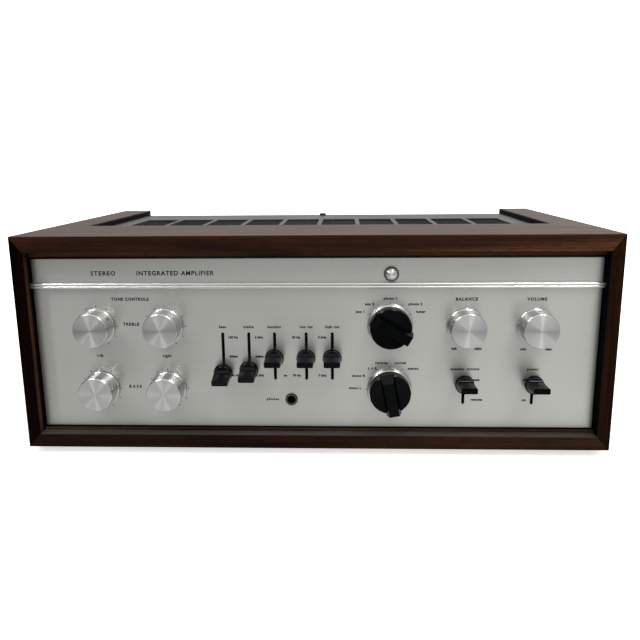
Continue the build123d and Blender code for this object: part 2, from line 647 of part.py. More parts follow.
# Slotted screens under the windows, one per window
SCREEN_T = 0.8
with BuildPart() as vent_mesh:
    with BuildSketch(Plane.XY.offset(COVER_TOP - COVER_T)):
        with Locations((0, (WINDOW_FRONT + WINDOW_BACK) / 2)):
            with GridLocations(WINDOW_PITCH, 1, WINDOW_COUNT, 1):
                Rectangle(WINDOW_W + 3.6, WINDOW_BACK - WINDOW_FRONT + 4.0)
            with GridLocations(WINDOW_PITCH, 8.0, WINDOW_COUNT, 11):
                Rectangle(WINDOW_W - 5.0, 4.5, mode=Mode.SUBTRACT)
    extrude(amount=-SCREEN_T)
vent_mesh.part.label = "vent_mesh"
export_step(vent_mesh.part, "parts/vent_mesh.step")

# ============================ Chassis and rear panel =======================================
RCA_X = [-214.0 + 19.0 * i for i in range(10)]
RCA_Z = (38.2, 59.2)
RCA_PLACES = [(x, z) for x in RCA_X for z in RCA_Z]
TERMINAL_X = [16.0 + 14.0 * i for i in range(8)]
TERMINAL_Z = 48.0
OUTLET_PLACES = [(158.0, 96.0), (200.0, 96.0)]
FUSE_X = 160.0
FUSE_Z = 48.0
GLAND_X = 208.0
GLAND_Z = 44.0
GROUND_X = -214.0
GROUND_Z = 84.0
REAR_BOTTOM = INNER_BOTTOM + 0.3
REAR_TOP = COVER_TOP - 10.5
REAR_VENT_Z = 146.0
REAR_SCREWS = [(x, z) for x in (-229.0, -76.0, 76.0, 229.0) for z in (REAR_BOTTOM + 7, REAR_TOP - 7)]

with BuildPart() as chassis:
    with BuildSketch(Plane.XY.offset(DECK_Z)):
        with Locations((0, CHASSIS_FRONT)):
            Rectangle(
                2 * CHASSIS_HALF_X, REAR_INSIDE_Y - 0.3 - CHASSIS_FRONT,
                align=(Align.CENTER, Align.MIN))
    extrude(amount=CHASSIS_BOTTOM - DECK_Z)
    offset(amount=-SHEET_T, openings=chassis.faces().sort_by(Axis.Z)[0])
    with BuildSketch(Plane.XY.offset(DECK_Z)):
        with Locations(*[(x, POWER_TUBE_Y) for x in TUBE_X]):
            Circle(POWER_SOCKET_R + 0.3)
        with Locations(*[(x, SIGNAL_TUBE_Y) for x in SIGNAL_TUBE_X]):
            Circle(SIGNAL_SOCKET_R + 0.3)
        with Locations(*[(x, CAN_Y) for x in CAN_X]):
            Circle(CAN_R + 0.3)
    extrude(amount=-2 * SHEET_T, mode=Mode.SUBTRACT)
    # Arms that reach forward to the sub-panel
    with BuildSketch(Plane.XY.offset(CHASSIS_BOTTOM)):
        for side in (-1, 1):
            with Locations((side * (CHASSIS_HALF_X - SHEET_T / 2), BEHIND_PANEL_Y)):
                Rectangle(SHEET_T, CHASSIS_FRONT + 2.0 - BEHIND_PANEL_Y, align=(Align.CENTER, Align.MIN))
    extrude(amount=DECK_Z - CHASSIS_BOTTOM)
    # Window in the rear wall behind the connectors
    with BuildSketch(Plane.XZ.offset(-REAR_INSIDE_Y)):
        with Locations((0, 46)):
            Rectangle(2 * CHASSIS_HALF_X - 16, 40)
    extrude(amount=6.0, mode=Mode.SUBTRACT)
chassis.part.label = "chassis"
export_step(chassis.part, "parts/chassis.step")

with BuildPart() as rear_panel:
    with BuildSketch(Plane.XZ.offset(-REAR_INSIDE_Y)):
        with Locations((0, REAR_BOTTOM)):
            Rectangle(2 * INNER_X - 0.8, REAR_TOP - REAR_BOTTOM, align=(Align.CENTER, Align.MIN))
        with Locations(*RCA_PLACES):
            Circle(3.4, mode=Mode.SUBTRACT)
        with Locations(*[(x, TERMINAL_Z) for x in TERMINAL_X]):
            Circle(3.0, mode=Mode.SUBTRACT)
        with Locations(*OUTLET_PLACES):
            Rectangle(24.4, 30.4, mode=Mode.SUBTRACT)
        with Locations((FUSE_X, FUSE_Z)):
            Circle(6.2, mode=Mode.SUBTRACT)
        with Locations((GLAND_X, GLAND_Z)):
            Circle(6.2, mode=Mode.SUBTRACT)
        with Locations((GROUND_X, GROUND_Z)):
            Circle(2.1, mode=Mode.SUBTRACT)
        with Locations(*REAR_SCREWS):
            Circle(SCREW_R, mode=Mode.SUBTRACT)
        with Locations((0, REAR_VENT_Z)):
            with GridLocations(52.0, 9.0, 8, 4):
                SlotOverall(38.0, 3.6, mode=Mode.SUBTRACT)
    extrude(amount=-REAR_PANEL_T)
rear_panel.part.label = "rear_panel"
export_step(rear_panel.part, "parts/rear_panel.step")


def facing_back(x, z):
    """Plane on the rear panel's outer face, facing the back."""
    return Plane(origin=(x, REAR_Y, z), x_dir=(-1, 0, 0), z_dir=(0, 1, 0))


# Insulating board that carries the phono jacks
with BuildPart() as jack_board:
    with BuildSketch(Plane.XZ.offset(-REAR_Y)):
        with Locations(((RCA_X[0] + RCA_X[-1]) / 2, sum(RCA_Z) / 2)):
            RectangleRounded(RCA_X[-1] - RCA_X[0] + 16.0, RCA_Z[1] - RCA_Z[0] + 18.0, 2.0)
        with Locations(*RCA_PLACES):
            Circle(3.2, mode=Mode.SUBTRACT)
    extrude(amount=-1.6)
jack_board.part.label = "jack_board"
export_step(jack_board.part, "parts/jack_board.step")

RCA_BARREL_R = 4.15
RCA_BARREL_OUT = 11.5
with BuildPart() as one_rca_jack:
    rca = facing_back(0, 0)
    with BuildSketch(rca.offset(1.6)):
        RegularPolygon(5.8, 6)
    extrude(amount=1.6)
    with BuildSketch(rca.offset(3.2)):
        Circle(RCA_BARREL_R)
    extrude(amount=RCA_BARREL_OUT - 3.2)
    with BuildSketch(rca.offset(1.6)):
        Circle(3.0)
    extrude(amount=-9.0)
    with BuildSketch(rca.offset(RCA_BARREL_OUT)):
        Circle(1.65)
    extrude(amount=-9.5, mode=Mode.SUBTRACT)

with BuildPart() as rca_jacks:
    with Locations(*[(x, 0, z) for x, z in RCA_PLACES]):
        add(one_rca_jack.part)
rca_jacks.part.label = "rca_jacks"
export_step(rca_jacks.part, "parts/rca_jacks.step")

# Barrier strip for the loudspeaker leads, with a wall between each two terminals
STRIP_OUT = 5.0
with BuildPart() as terminal_strip:
    strip_middle = (TERMINAL_X[0] + TERMINAL_X[-1]) / 2
    strip_width = TERMINAL_X[-1] - TERMINAL_X[0] + 14.0
    with BuildSketch(Plane.XZ.offset(-REAR_Y)):
        with Locations((strip_middle, TERMINAL_Z)):
            RectangleRounded(strip_width, 24.0, 1.0)
        with Locations(*[(x, TERMINAL_Z) for x in TERMINAL_X]):
            Circle(SCREW_R, mode=Mode.SUBTRACT)
    extrude(amount=-STRIP_OUT)
    with BuildSketch(Plane.XZ.offset(-REAR_Y - STRIP_OUT + 0.5)):
        with Locations((strip_middle, TERMINAL_Z)):
            with GridLocations(14.0, 1, len(TERMINAL_X) + 1, 1):
                Rectangle(1.6, 22.0)
    extrude(amount=-7.0)
terminal_strip.part.label = "terminal_strip"
export_step(terminal_strip.part, "parts/terminal_strip.step")

# Screw, clamping washer and shank of each loudspeaker terminal, and the earth post
with BuildPart() as one_terminal:
    post = facing_back(0, 0)
    with BuildSketch(post.offset(STRIP_OUT)):
        RectangleRounded(8.6, 8.6, 1.0)
    extrude(amount=1.2)
    with BuildSketch(post.offset(STRIP_OUT + 1.2)):
        Circle(3.6)
    extrude(amount=2.4)
    with BuildSketch(post.offset(STRIP_OUT + 3.6)):
        Rectangle(8.0, 0.9)
    extrude(amount=-1.0, mode=Mode.SUBTRACT)
    with BuildSketch(post.offset(STRIP_OUT)):
        Circle(SCREW_R)
    extrude(amount=-STRIP_OUT - 9.0)

with BuildPart() as speaker_terminals:
    with Locations(*[(x, 0, TERMINAL_Z) for x in TERMINAL_X]):
        add(one_terminal.part)
    with Locations((GROUND_X, 0, GROUND_Z)):
        add(one_terminal.part)
speaker_terminals.part.label = "speaker_terminals"
export_step(speaker_terminals.part, "parts/speaker_terminals.step")

# Switched and unswitched auxiliary outlets, each with two flat-blade slots
with BuildPart() as one_outlet:
    outlet = facing_back(0, 0)
    with BuildSketch(outlet):
        RectangleRounded(30.0, 36.0, 3.0)
    extrude(amount=3.0)
    chamfer(one_outlet.faces().sort_by(Axis.Y)[-1].edges(), 0.8)
    with BuildSketch(outlet):
        Rectangle(24.0, 30.0)
    extrude(amount=-18.0)
    with BuildSketch(outlet.offset(3.0)):
        with Locations((-6.35, 0), (6.35, 0)):
            Rectangle(2.0, 8.0)
    extrude(amount=-17.0, mode=Mode.SUBTRACT)

with BuildPart() as ac_outlets:
    with Locations(*[(x, 0, z) for x, z in OUTLET_PLACES]):
        add(one_outlet.part)
ac_outlets.part.label = "ac_outlets"
export_step(ac_outlets.part, "parts/ac_outlets.step")

with BuildPart() as fuse_holder:
    fuse = facing_back(FUSE_X, FUSE_Z)
    with BuildSketch(fuse):
        Circle(8.0)
    extrude(amount=2.4)
    with BuildSketch(fuse.offset(2.4)):
        Circle(6.4)
    extrude(amount=7.6)
    chamfer(fuse_holder.faces().sort_by(Axis.Y)[-1].edges(), 1.0)
    with BuildSketch(fuse.offset(10.0)):
        Rectangle(13.0, 1.4)
    extrude(amount=-1.4, mode=Mode.SUBTRACT)
    with BuildSketch(fuse):
        Circle(6.0)
    extrude(amount=-22.0)
fuse_holder.part.label = "fuse_holder"
export_step(fuse_holder.part, "parts/fuse_holder.step")

# Bush where the mains lead enters
GLAND_BORE_R = 3.6
with BuildPart() as cord_gland:
    with BuildSketch(Plane(
            origin=(GLAND_X, REAR_Y, GLAND_Z), x_dir=(1, 0, 0), z_dir=(0, 0, -1))):
        with BuildLine():
            Polyline(
                (GLAND_BORE_R, 7.5), (5.9, 7.5), (5.9, 0.0), (9.0, 0.0), (9.0, -2.6), (8.0, -3.4),
                (6.4, -8.0), (GLAND_BORE_R + 1.0, -11.6), (GLAND_BORE_R, -11.6), close=True)
        make_face()
    revolve(axis=Axis((GLAND_X, REAR_Y, GLAND_Z), (0, 1, 0)))
cord_gland.part.label = "cord_gland"
export_step(cord_gland.part, "parts/cord_gland.step")

# ============================ Valves =======================================================
SOCKET_TOP = DECK_Z + 6.0
BASE_TOP = SOCKET_TOP + 15.0
POWER_GLASS_R = 18.5
POWER_GLASS_TOP = BASE_TOP + 76.0
SIGNAL_GLASS_R = 10.3
SIGNAL_GLASS_TOP = SOCKET_TOP + 49.0
POWER_PLACES = [(x, POWER_TUBE_Y) for x in TUBE_X]
SIGNAL_PLACES = [(x, SIGNAL_TUBE_Y) for x in SIGNAL_TUBE_X]

with BuildPart() as tube_sockets:
    for places, radius in ((POWER_PLACES, POWER_SOCKET_R), (SIGNAL_PLACES, SIGNAL_SOCKET_R)):
        with BuildSketch(Plane.XY.offset(DECK_Z)):
            with Locations(*places):
                Circle(radius + 2.5)
        extrude(amount=1.0)
        with BuildSketch(Plane.XY.offset(SOCKET_TOP)):
            with Locations(*places):
                Circle(radius)
        extrude(amount=-14.0)
        # Pin sleeves
        with BuildSketch(Plane.XY.offset(SOCKET_TOP)):
            with Locations(*places):
                with PolarLocations(radius * 0.6, 8):
                    Circle(0.9)
        extrude(amount=-9.0, mode=Mode.SUBTRACT)
tube_sockets.part.label = "tube_sockets"
export_step(tube_sockets.part, "parts/tube_sockets.step")

with BuildPart() as power_tube_bases:
    with BuildSketch(Plane.XY.offset(SOCKET_TOP)):
        with Locations(*POWER_PLACES):
            Circle(POWER_SOCKET_R - 1.0)
    extrude(amount=BASE_TOP - SOCKET_TOP)
    chamfer(power_tube_bases.faces().filter_by(Plane.XY).group_by(Axis.Z)[-1].edges(), 1.0)
    with BuildSketch(Plane.XY.offset(SOCKET_TOP)):
        with Locations(*POWER_PLACES):
            with PolarLocations(POWER_SOCKET_R * 0.6, 8):
                Circle(0.9)
    extrude(amount=-8.5)
power_tube_bases.part.label = "power_tube_bases"
export_step(power_tube_bases.part, "parts/power_tube_bases.step")


def bulb(radius, bottom, top):
    """Glass envelope with a domed top, standing on Z."""
    shoulder = top - radius
    with BuildPart() as envelope:
        with BuildSketch(Plane.XZ):
            with BuildLine():
                Line((0, bottom), (radius - 3.5, bottom))
                Line((radius - 3.5, bottom), (radius, bottom + 7.0))
                Line((radius, bottom + 7.0), (radius, shoulder))
                RadiusArc((radius, shoulder), (0, top), -radius)
                Line((0, top), (0, bottom))
            make_face()
        revolve(axis=Axis.Z)
    return envelope


with BuildPart() as power_tube_glasses:
    with Locations(*POWER_PLACES):
        add(bulb(POWER_GLASS_R, BASE_TOP, POWER_GLASS_TOP).part)
power_tube_glasses.part.label = "power_tube_glasses"
export_step(power_tube_glasses.part, "parts/power_tube_glasses.step")

with BuildPart() as signal_tubes:
    with Locations(*SIGNAL_PLACES):
        add(bulb(SIGNAL_GLASS_R, SOCKET_TOP, SIGNAL_GLASS_TOP).part)
signal_tubes.part.label = "signal_tubes"
export_step(signal_tubes.part, "parts/signal_tubes.step")


# ============================ Transformers and capacitors ==================================
def transformer(x, y, width, depth, core_h, bell_h):
    """Laminated core lying flat between two pressed covers, with a bolt at each corner."""
    with BuildPart() as iron:
        with BuildSketch(Plane.XY.offset(DECK_Z)):
            with Locations((x, y)):
                RectangleRounded(width - 18, depth - 18, 6)
        extrude(amount=2 * bell_h + core_h)
        fillet(iron.faces().sort_by(Axis.Z)[-1].edges(), 4.0)
        with BuildSketch(Plane.XY.offset(DECK_Z + bell_h)):
            with Locations((x, y)):
                Rectangle(width, depth)
        extrude(amount=core_h)
        for level in (bell_h - 1.6, bell_h + core_h):
            with BuildSketch(Plane.XY.offset(DECK_Z + level)):
                with Locations((x, y)):
                    RectangleRounded(width + 1.0, depth + 1.0, 4)
            extrude(amount=1.6)
        with BuildSketch(Plane.XY.offset(DECK_Z)):
            with Locations((x, y)):
                with GridLocations(width - 9, depth - 9, 2, 2):
                    Circle(2.2)
        extrude(amount=bell_h + core_h + 3.0)
        with BuildSketch(Plane.XY.offset(DECK_Z + bell_h + core_h + 1.6)):
            with Locations((x, y)):
                with GridLocations(width - 9, depth - 9, 2, 2):
                    RegularPolygon(4.2, 6)
        extrude(amount=3.4)
    return iron


power_transformer = transformer(TRANSFORMER_X, TRANSFORMER_Y, 108.0, 92.0, 42.0, 26.0)
power_transformer.part.label = "power_transformer"
export_step(power_transformer.part, "parts/power_transformer.step")

with BuildPart() as output_transformers:
    for x in OUTPUT_X:
        add(transformer(x, OUTPUT_Y, 60.0, 78.0, 34.0, 22.0).part)
output_transformers.part.label = "output_transformers"
export_step(output_transformers.part, "parts/output_transformers.step")

with BuildPart() as filter_capacitors:
    with BuildSketch(Plane.XY.offset(DECK_Z - 12.0)):
        with Locations(*[(x, CAN_Y) for x in CAN_X]):
            Circle(CAN_R)
    extrude(amount=74.0)
    fillet(filter_capacitors.faces().group_by(Axis.Z)[-1].edges(), 1.5)
    with BuildSketch(Plane.XY.offset(DECK_Z)):
        with Locations(*[(x, CAN_Y) for x in CAN_X]):
            Circle(CAN_R + 2.2)
    extrude(amount=1.2)
    with BuildSketch(Plane.XY.offset(DECK_Z - 12.0)):
        with Locations(*[(x, CAN_Y) for x in CAN_X]):
            with PolarLocations(9.0, 4):
                Rectangle(3.0, 0.8)
    extrude(amount=-6.0)
filter_capacitors.part.label = "filter_capacitors"
export_step(filter_capacitors.part, "parts/filter_capacitors.step")

# ============================ Circuit board ================================================
BOARD_Z = 42.0
PCB_T = 1.6
with BuildPart() as circuit_board:
    with BuildSketch(Plane.XY.offset(BOARD_Z)):
        with Locations((0, 54)):
            Rectangle(380, 110)
    extrude(amount=PCB_T)
    # Pillars up to the deck, film capacitors and the rows of resistors
    with BuildSketch(Plane.XY.offset(BOARD_Z + PCB_T)):
        with Locations((0, 54)):
            with GridLocations(364, 98, 2, 2):
                Circle(3.0)
    extrude(amount=DECK_Z - SHEET_T - BOARD_Z - PCB_T)
    with BuildSketch(Plane.XY.offset(BOARD_Z + PCB_T)):
        with Locations((0, 44)):
            with GridLocations(46, 28, 7, 3):
                RectangleRounded(22, 9, 2)
    extrude(amount=10.0)
    with BuildSketch(Plane.XY.offset(BOARD_Z + PCB_T)):
        with Locations((0, 58)):
            with GridLocations(23, 28, 15, 3):
                Rectangle(9, 3)
    extrude(amount=3.0)
circuit_board.part.label = "circuit_board"
export_step(circuit_board.part, "parts/circuit_board.step")

# ============================ Screws =======================================================
SCREW_HEAD_R = 3.8


def screws_at(planes, length):
    """Pan-head screws with crossed slots, one on each plane, heads outwards."""
    with BuildPart() as group:
        for plane in planes:
            with BuildSketch(plane):
                Circle(SCREW_HEAD_R)
            extrude(amount=2.4)
            with BuildSketch(plane):
                Circle(SCREW_R)
            extrude(amount=-length)
            with BuildSketch(plane.offset(2.4)):
                Rectangle(4.6, 0.9)
                Rectangle(0.9, 4.6)
            extrude(amount=-1.2, mode=Mode.SUBTRACT)
    return group


foot_planes = [Plane(origin=(x, y, 3.4), x_dir=(1, 0, 0), z_dir=(0, 0, -1)) for x, y in FOOT_PLACES]
rear_planes = [facing_back(x, z) for x, z in REAR_SCREWS]
cover_plane = Plane(origin=(0, COVER_BACK - 8.0, COVER_TOP), x_dir=(1, 0, 0), z_dir=(0, 0, 1))
with BuildPart() as screws:
    add(screws_at(foot_planes, FOOT_H + BOTTOM_T - 5.0).part)
    add(screws_at(rear_planes, REAR_PANEL_T).part)
    add(screws_at([cover_plane], 7.0).part)
screws.part.label = "screws"
export_step(screws.part, "parts/screws.step")
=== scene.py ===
"""The integrated amplifier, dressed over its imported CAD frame: veneer, brushed
and turned aluminium, silk-screened legends, vent gauze and the valves inside.

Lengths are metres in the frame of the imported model: +X to the right of the
front panel, +Y to the back, +Z up. Names ending in _MM hold millimetres.
"""
import json
import math

import bmesh
import bpy
from mathutils import Matrix, Vector

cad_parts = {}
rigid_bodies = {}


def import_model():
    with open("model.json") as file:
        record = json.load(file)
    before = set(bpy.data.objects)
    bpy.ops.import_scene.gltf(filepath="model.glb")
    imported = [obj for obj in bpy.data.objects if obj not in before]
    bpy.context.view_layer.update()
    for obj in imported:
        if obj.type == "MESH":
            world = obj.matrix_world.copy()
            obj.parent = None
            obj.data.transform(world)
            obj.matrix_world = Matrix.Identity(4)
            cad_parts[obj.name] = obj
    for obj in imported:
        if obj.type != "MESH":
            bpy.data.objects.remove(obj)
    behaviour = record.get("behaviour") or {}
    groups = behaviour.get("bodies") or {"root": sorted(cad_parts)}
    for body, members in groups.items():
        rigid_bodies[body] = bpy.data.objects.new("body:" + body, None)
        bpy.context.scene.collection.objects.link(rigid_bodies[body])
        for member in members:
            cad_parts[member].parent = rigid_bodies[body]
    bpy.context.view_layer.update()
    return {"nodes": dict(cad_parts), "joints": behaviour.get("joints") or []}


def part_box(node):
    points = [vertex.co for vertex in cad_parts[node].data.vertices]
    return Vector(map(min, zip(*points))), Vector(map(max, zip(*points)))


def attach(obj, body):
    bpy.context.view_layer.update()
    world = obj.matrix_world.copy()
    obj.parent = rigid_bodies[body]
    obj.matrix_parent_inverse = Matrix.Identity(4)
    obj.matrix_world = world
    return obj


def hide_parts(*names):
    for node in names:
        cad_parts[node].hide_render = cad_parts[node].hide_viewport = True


for stray in list(bpy.data.objects):
    bpy.data.objects.remove(stray)

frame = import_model()
nodes = frame["nodes"]
joints = {joint["name"]: joint for joint in frame["joints"]}

MM = 0.001

# The camera stands a little to the right of the middle, above the cabinet.
EYE = Vector((0.02508, -0.62784, 0.24742))
PITCH_DOWN = 0.1949
YAW_LEFT = 0.0356
ROLL = -0.0089
LENS_MM = 34.844
SHIFT = (-0.0028, -0.0539)

# Silk-screened ink on the panels.
INK = 0.04 * MM
CAP_SHARE = 0.7
STROKE = 0.17 * MM

# Capital heights of the lettering, in millimetres.
TITLE_CAP = 3.6
HEADING_CAP = 2.5
SMALL_CAP = 2.1
SCALE_CAP = 1.9

# Sides of wires, and of round parts.
WIRE_SIDES = 6
ROUND_SIDES = 24
GAUZE_PITCH = 2.2 * MM

# Sockets of a Mix node that mixes colours.
MIX_FACTOR = 0
MIX_FIRST = 6
MIX_SECOND = 7
MIX_RESULT = 2

# Sides of the turned knobs, darker than their faces.
SIDE_TONE = (0.74, 0.74, 0.735)

# Grub screws of the knobs, measured from each knob's axis.
GRUB_R = 1.65 * MM
GRUB_FOOT = 8.0 * MM
GRUB_TOP = 13.2 * MM
PANEL_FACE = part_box("front_panel")[0].y
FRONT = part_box("cabinet_bottom_board")[0].y
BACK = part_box("cabinet_bottom_board")[1].y
CASE_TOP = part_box("cabinet_top_board")[1].z
INNER_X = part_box("cabinet_right_side")[0].x
INNER_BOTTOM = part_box("cabinet_bottom_board")[1].z
REAR_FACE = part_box("rear_panel")[1].y


# ---------------------------------------------------------------- node helpers

def surface(name, **sockets):
    """A new material. Each keyword sets one of the shader's own sockets."""
    material = bpy.data.materials.new(name)
    material.use_nodes = True
    shader = material.node_tree.nodes["Principled BSDF"]
    for socket, value in sockets.items():
        shader.inputs[socket.replace("_", " ")].default_value = value
    return material


def shader_of(material):
    return material.node_tree.nodes["Principled BSDF"]


def add(material, kind, **inputs):
    """A new node of a material, with its unlinked inputs set."""
    node = material.node_tree.nodes.new("ShaderNode" + kind)
    for socket, value in inputs.items():
        node.inputs[socket.replace("_", " ")].default_value = value
    return node


def join(material, output, target):
    material.node_tree.links.new(output, target)


def noise(material, scale, detail=4.0, distortion=0.0):
    """Noise over the piece's own metres, with a scale of its own on each axis."""
    place = add(material, "TexCoord")
    mapping = add(material, "Mapping", Scale=scale)
    texture = add(material, "TexNoise", Scale=1.0, Detail=detail, Distortion=distortion)
    join(material, place.outputs["Object"], mapping.inputs["Vector"])
    join(material, mapping.outputs["Vector"], texture.inputs["Vector"])
    return texture.outputs["Fac"]


def ramp(material, factor, stops):
    """The colour of a factor, from (place, colour) stops."""
    node = add(material, "ValToRGB")
    marks = node.color_ramp.elements
    while len(marks) < len(stops):
        marks.new(0.5)
    for mark, (place, colour) in zip(marks, stops):
        mark.position = place
        mark.color = (*colour, 1.0)
    join(material, factor, node.inputs["Fac"])
    return node.outputs["Color"]


def span(material, factor, low, high, to_low, to_high):
    """A factor's range low to high stretched to the range to_low to to_high."""
    node = add(material, "MapRange")
    node.inputs["From Min"].default_value = low
    node.inputs["From Max"].default_value = high
    node.inputs["To Min"].default_value = to_low
    node.inputs["To Max"].default_value = to_high
    join(material, factor, node.inputs["Value"])
    return node.outputs["Result"]


def blend_colours(material, factor, first, second):
    """Two colours mixed by a factor."""
    node = add(material, "Mix")
    node.data_type = "RGBA"
    join(material, factor, node.inputs[MIX_FACTOR])
    join(material, first, node.inputs[MIX_FIRST])
    join(material, second, node.inputs[MIX_SECOND])
    return node.outputs[MIX_RESULT]


def bump(material, height, distance, strength=1.0, under=None):
    """Relief of that height in metres, over another relief if one is given."""
    node = add(material, "Bump", Strength=strength, Distance=distance)
    join(material, height, node.inputs["Height"])
    if under is not None:
        join(material, under, node.inputs["Normal"])
    return node.outputs["Normal"]


def finish_surface(material, colour=None, roughness=None, normal=None):
    """Joins what varies over the surface to the shader."""
    shader = shader_of(material)
    if colour is not None:
        join(material, colour, shader.inputs["Base Color"])
    if roughness is not None:
        join(material, roughness, shader.inputs["Roughness"])
    if normal is not None:
        join(material, normal, shader.inputs["Normal"])
    return material


# ------------------------------------------------------------------- materials

def along_axis(material, axis):
    """One coordinate of the piece, in metres: 0 is X, 1 is Y, 2 is Z."""
    place = add(material, "TexCoord")
    parts = add(material, "SeparateXYZ")
    join(material, place.outputs["Object"], parts.inputs[0])
    return parts.outputs[axis]


def of_two(material, operation, first, second):
    node = add(material, "Math")
    node.operation = operation
    join(material, first, node.inputs[0])
    join(material, second, node.inputs[1])
    return node.outputs[0]


def product(material, first, second):
    return of_two(material, "MULTIPLY", first, second)


def larger(material, first, second):
    return of_two(material, "MAXIMUM", first, second)


def tinted(material, colour, shade, factor=None):
    """A colour multiplied by a shade, wholly or by a factor."""
    node = add(material, "Mix")
    node.data_type = "RGBA"
    node.blend_type = "MULTIPLY"
    node.inputs[MIX_FACTOR].default_value = 1.0
    join(material, colour, node.inputs[MIX_FIRST])
    if isinstance(shade, tuple):
        node.inputs[MIX_SECOND].default_value = (*shade, 1.0)
    else:
        join(material, shade, node.inputs[MIX_SECOND])
    if factor is not None:
        join(material, factor, node.inputs[MIX_FACTOR])
    return node.outputs[MIX_RESULT]


def walnut(name, along, front_tone, inner, gloss=0.08, dust=0.30, stain=(1.0, 1.0, 1.0)):
    """Oiled walnut veneer, its grain along axis 0 (X), 1 (Y) or 2 (Z).

    front_tone shades the edging strip on the front; inner(material) gives the
    factor of the black paint inside the cabinet; dust is the share of grey dust
    on the faces that look up; stain tints the whole veneer.
    """
    material = surface(name, Specular_IOR_Level=gloss)

    def stretched(long, across):
        scale = [across, across, across]
        scale[along] = long
        return tuple(scale)

    figure = noise(material, stretched(2.6, 46.0), detail=5.0, distortion=1.6)
    fibre = noise(material, stretched(11.0, 620.0), detail=6.0, distortion=0.4)
    pore = noise(material, stretched(90.0, 2400.0), detail=3.0)
    colour = ramp(material, figure, [
        (0.30, (0.030, 0.0098, 0.0040)),
        (0.46, (0.078, 0.0270, 0.0105)),
        (0.60, (0.120, 0.0450, 0.0190)),
        (0.72, (0.050, 0.0165, 0.0070))])
    colour = tinted(material, colour, ramp(material, fibre, [
        (0.28, (0.50, 0.47, 0.44)),
        (0.72, (1.25, 1.25, 1.22))]))
    colour = tinted(material, colour, ramp(material, pore, [
        (0.36, (0.42, 0.38, 0.34)),
        (0.50, (1.0, 1.0, 1.0))]))
    colour = tinted(material, colour, stain)
    depth = along_axis(material, 1)
    edging = span(material, depth, FRONT + 1.5 * MM, FRONT + 0.9 * MM, 0.0, 1.0)
    rightward = ramp(material, span(material, along_axis(material, 0), -0.25, 0.25, 0, 1), [
        (0.0, tuple(0.72 * part for part in front_tone)),
        (0.5, front_tone),
        (1.0, tuple(part * gain for part, gain in zip(front_tone, (1.75, 2.3, 2.6))))])
    colour = tinted(material, colour, rightward, edging)
    colour = blend_colours(material, bloom(material, dust), colour, ramp(material, fibre, [
        (0.3, (0.055, 0.054, 0.052)),
        (0.7, (0.090, 0.089, 0.086))]))
    paint = inner(material)
    colour = blend_colours(material, paint, colour, ramp(material, fibre, [
        (0.3, (0.0012, 0.0012, 0.0012)),
        (0.7, (0.0022, 0.0022, 0.0021))]))
    roughness = larger(material, span(material, fibre, 0.3, 0.7, 0.50, 0.38),
                       span(material, paint, 0.0, 1.0, 0.0, 0.95))
    relief = bump(material, fibre, 0.00010, 0.35)
    relief = bump(material, pore, 0.00015, 0.40, relief)
    return finish_surface(material, colour, roughness, relief)


def between(material, axis, low, high):
    """1 where a coordinate lies between two places, soft over 0.3 mm at each."""
    value = along_axis(material, axis)
    rise = span(material, value, low - 0.15 * MM, low + 0.15 * MM, 0.0, 1.0)
    fall = span(material, value, high - 0.15 * MM, high + 0.15 * MM, 1.0, 0.0)
    return product(material, rise, fall)


def bloom(material, share):
    """Grey dust, on the faces that look up."""
    shape = add(material, "NewGeometry")
    parts = add(material, "SeparateXYZ")
    join(material, shape.outputs["True Normal"], parts.inputs[0])
    upward = span(material, parts.outputs[2], 0.8, 0.95, 0.0, share)
    patches = noise(material, (14.0, 30.0, 30.0), detail=6.0)
    return product(material, upward, span(material, patches, 0.3, 0.7, 0.75, 1.0))


def painted_inside(veneer_depth):
    """Black paint on a side board's inner face, thin over a strip at its front."""
    def factor(material):
        inside = between(material, 0, -INNER_X - 0.3 * MM, INNER_X + 0.3 * MM)
        inside = product(material, inside,
                         between(material, 1, FRONT + 0.6 * MM, BACK - 0.3 * MM))
        edge = FRONT + veneer_depth
        return product(material, inside, span(material, along_axis(material, 1),
                                              edge, edge + 0.3 * MM, 0.30, 1.0))
    return factor


def painted_below_top(material):
    """Black paint on the walls of the vent opening and under the top board."""
    below = between(material, 2, 0.0, CASE_TOP - 1.0 * MM)
    inside = between(material, 0, -INNER_X, INNER_X)
    deep = between(material, 1, FRONT + 12.5 * MM, BACK - 0.3 * MM)
    return product(material, product(material, below, inside), deep)


def painted_behind_panel(material):
    """Black paint on a board's inner face behind the front panel."""
    above = between(material, 2, INNER_BOTTOM - 0.4 * MM, CASE_TOP)
    return product(material, above,
                   between(material, 1, FRONT + 12.5 * MM, BACK - 0.3 * MM))


def brushed_panel():
    """Anodised panel aluminium, brushed from side to side."""
    material = surface("panel_aluminium", Metallic=1.0, Anisotropic=0.6,
                       Anisotropic_Rotation=0.25)
    line = noise(material, (3.0, 300.0, 1500.0), detail=5.0)
    cloud = noise(material, (9.0, 9.0, 11.0), detail=4.0)
    colour = ramp(material, line, [
        (0.25, (0.605, 0.609, 0.575)),
        (0.75, (0.640, 0.644, 0.608))])
    colour = tinted(material, colour, ramp(material, cloud, [
        (0.3, (0.93, 0.93, 0.925)),
        (0.7, (1.0, 1.0, 1.0))]))
    roughness = span(material, line, 0.3, 0.7, 0.41, 0.39)
    return finish_surface(material, colour, roughness, bump(material, line, 0.00001, 0.04))


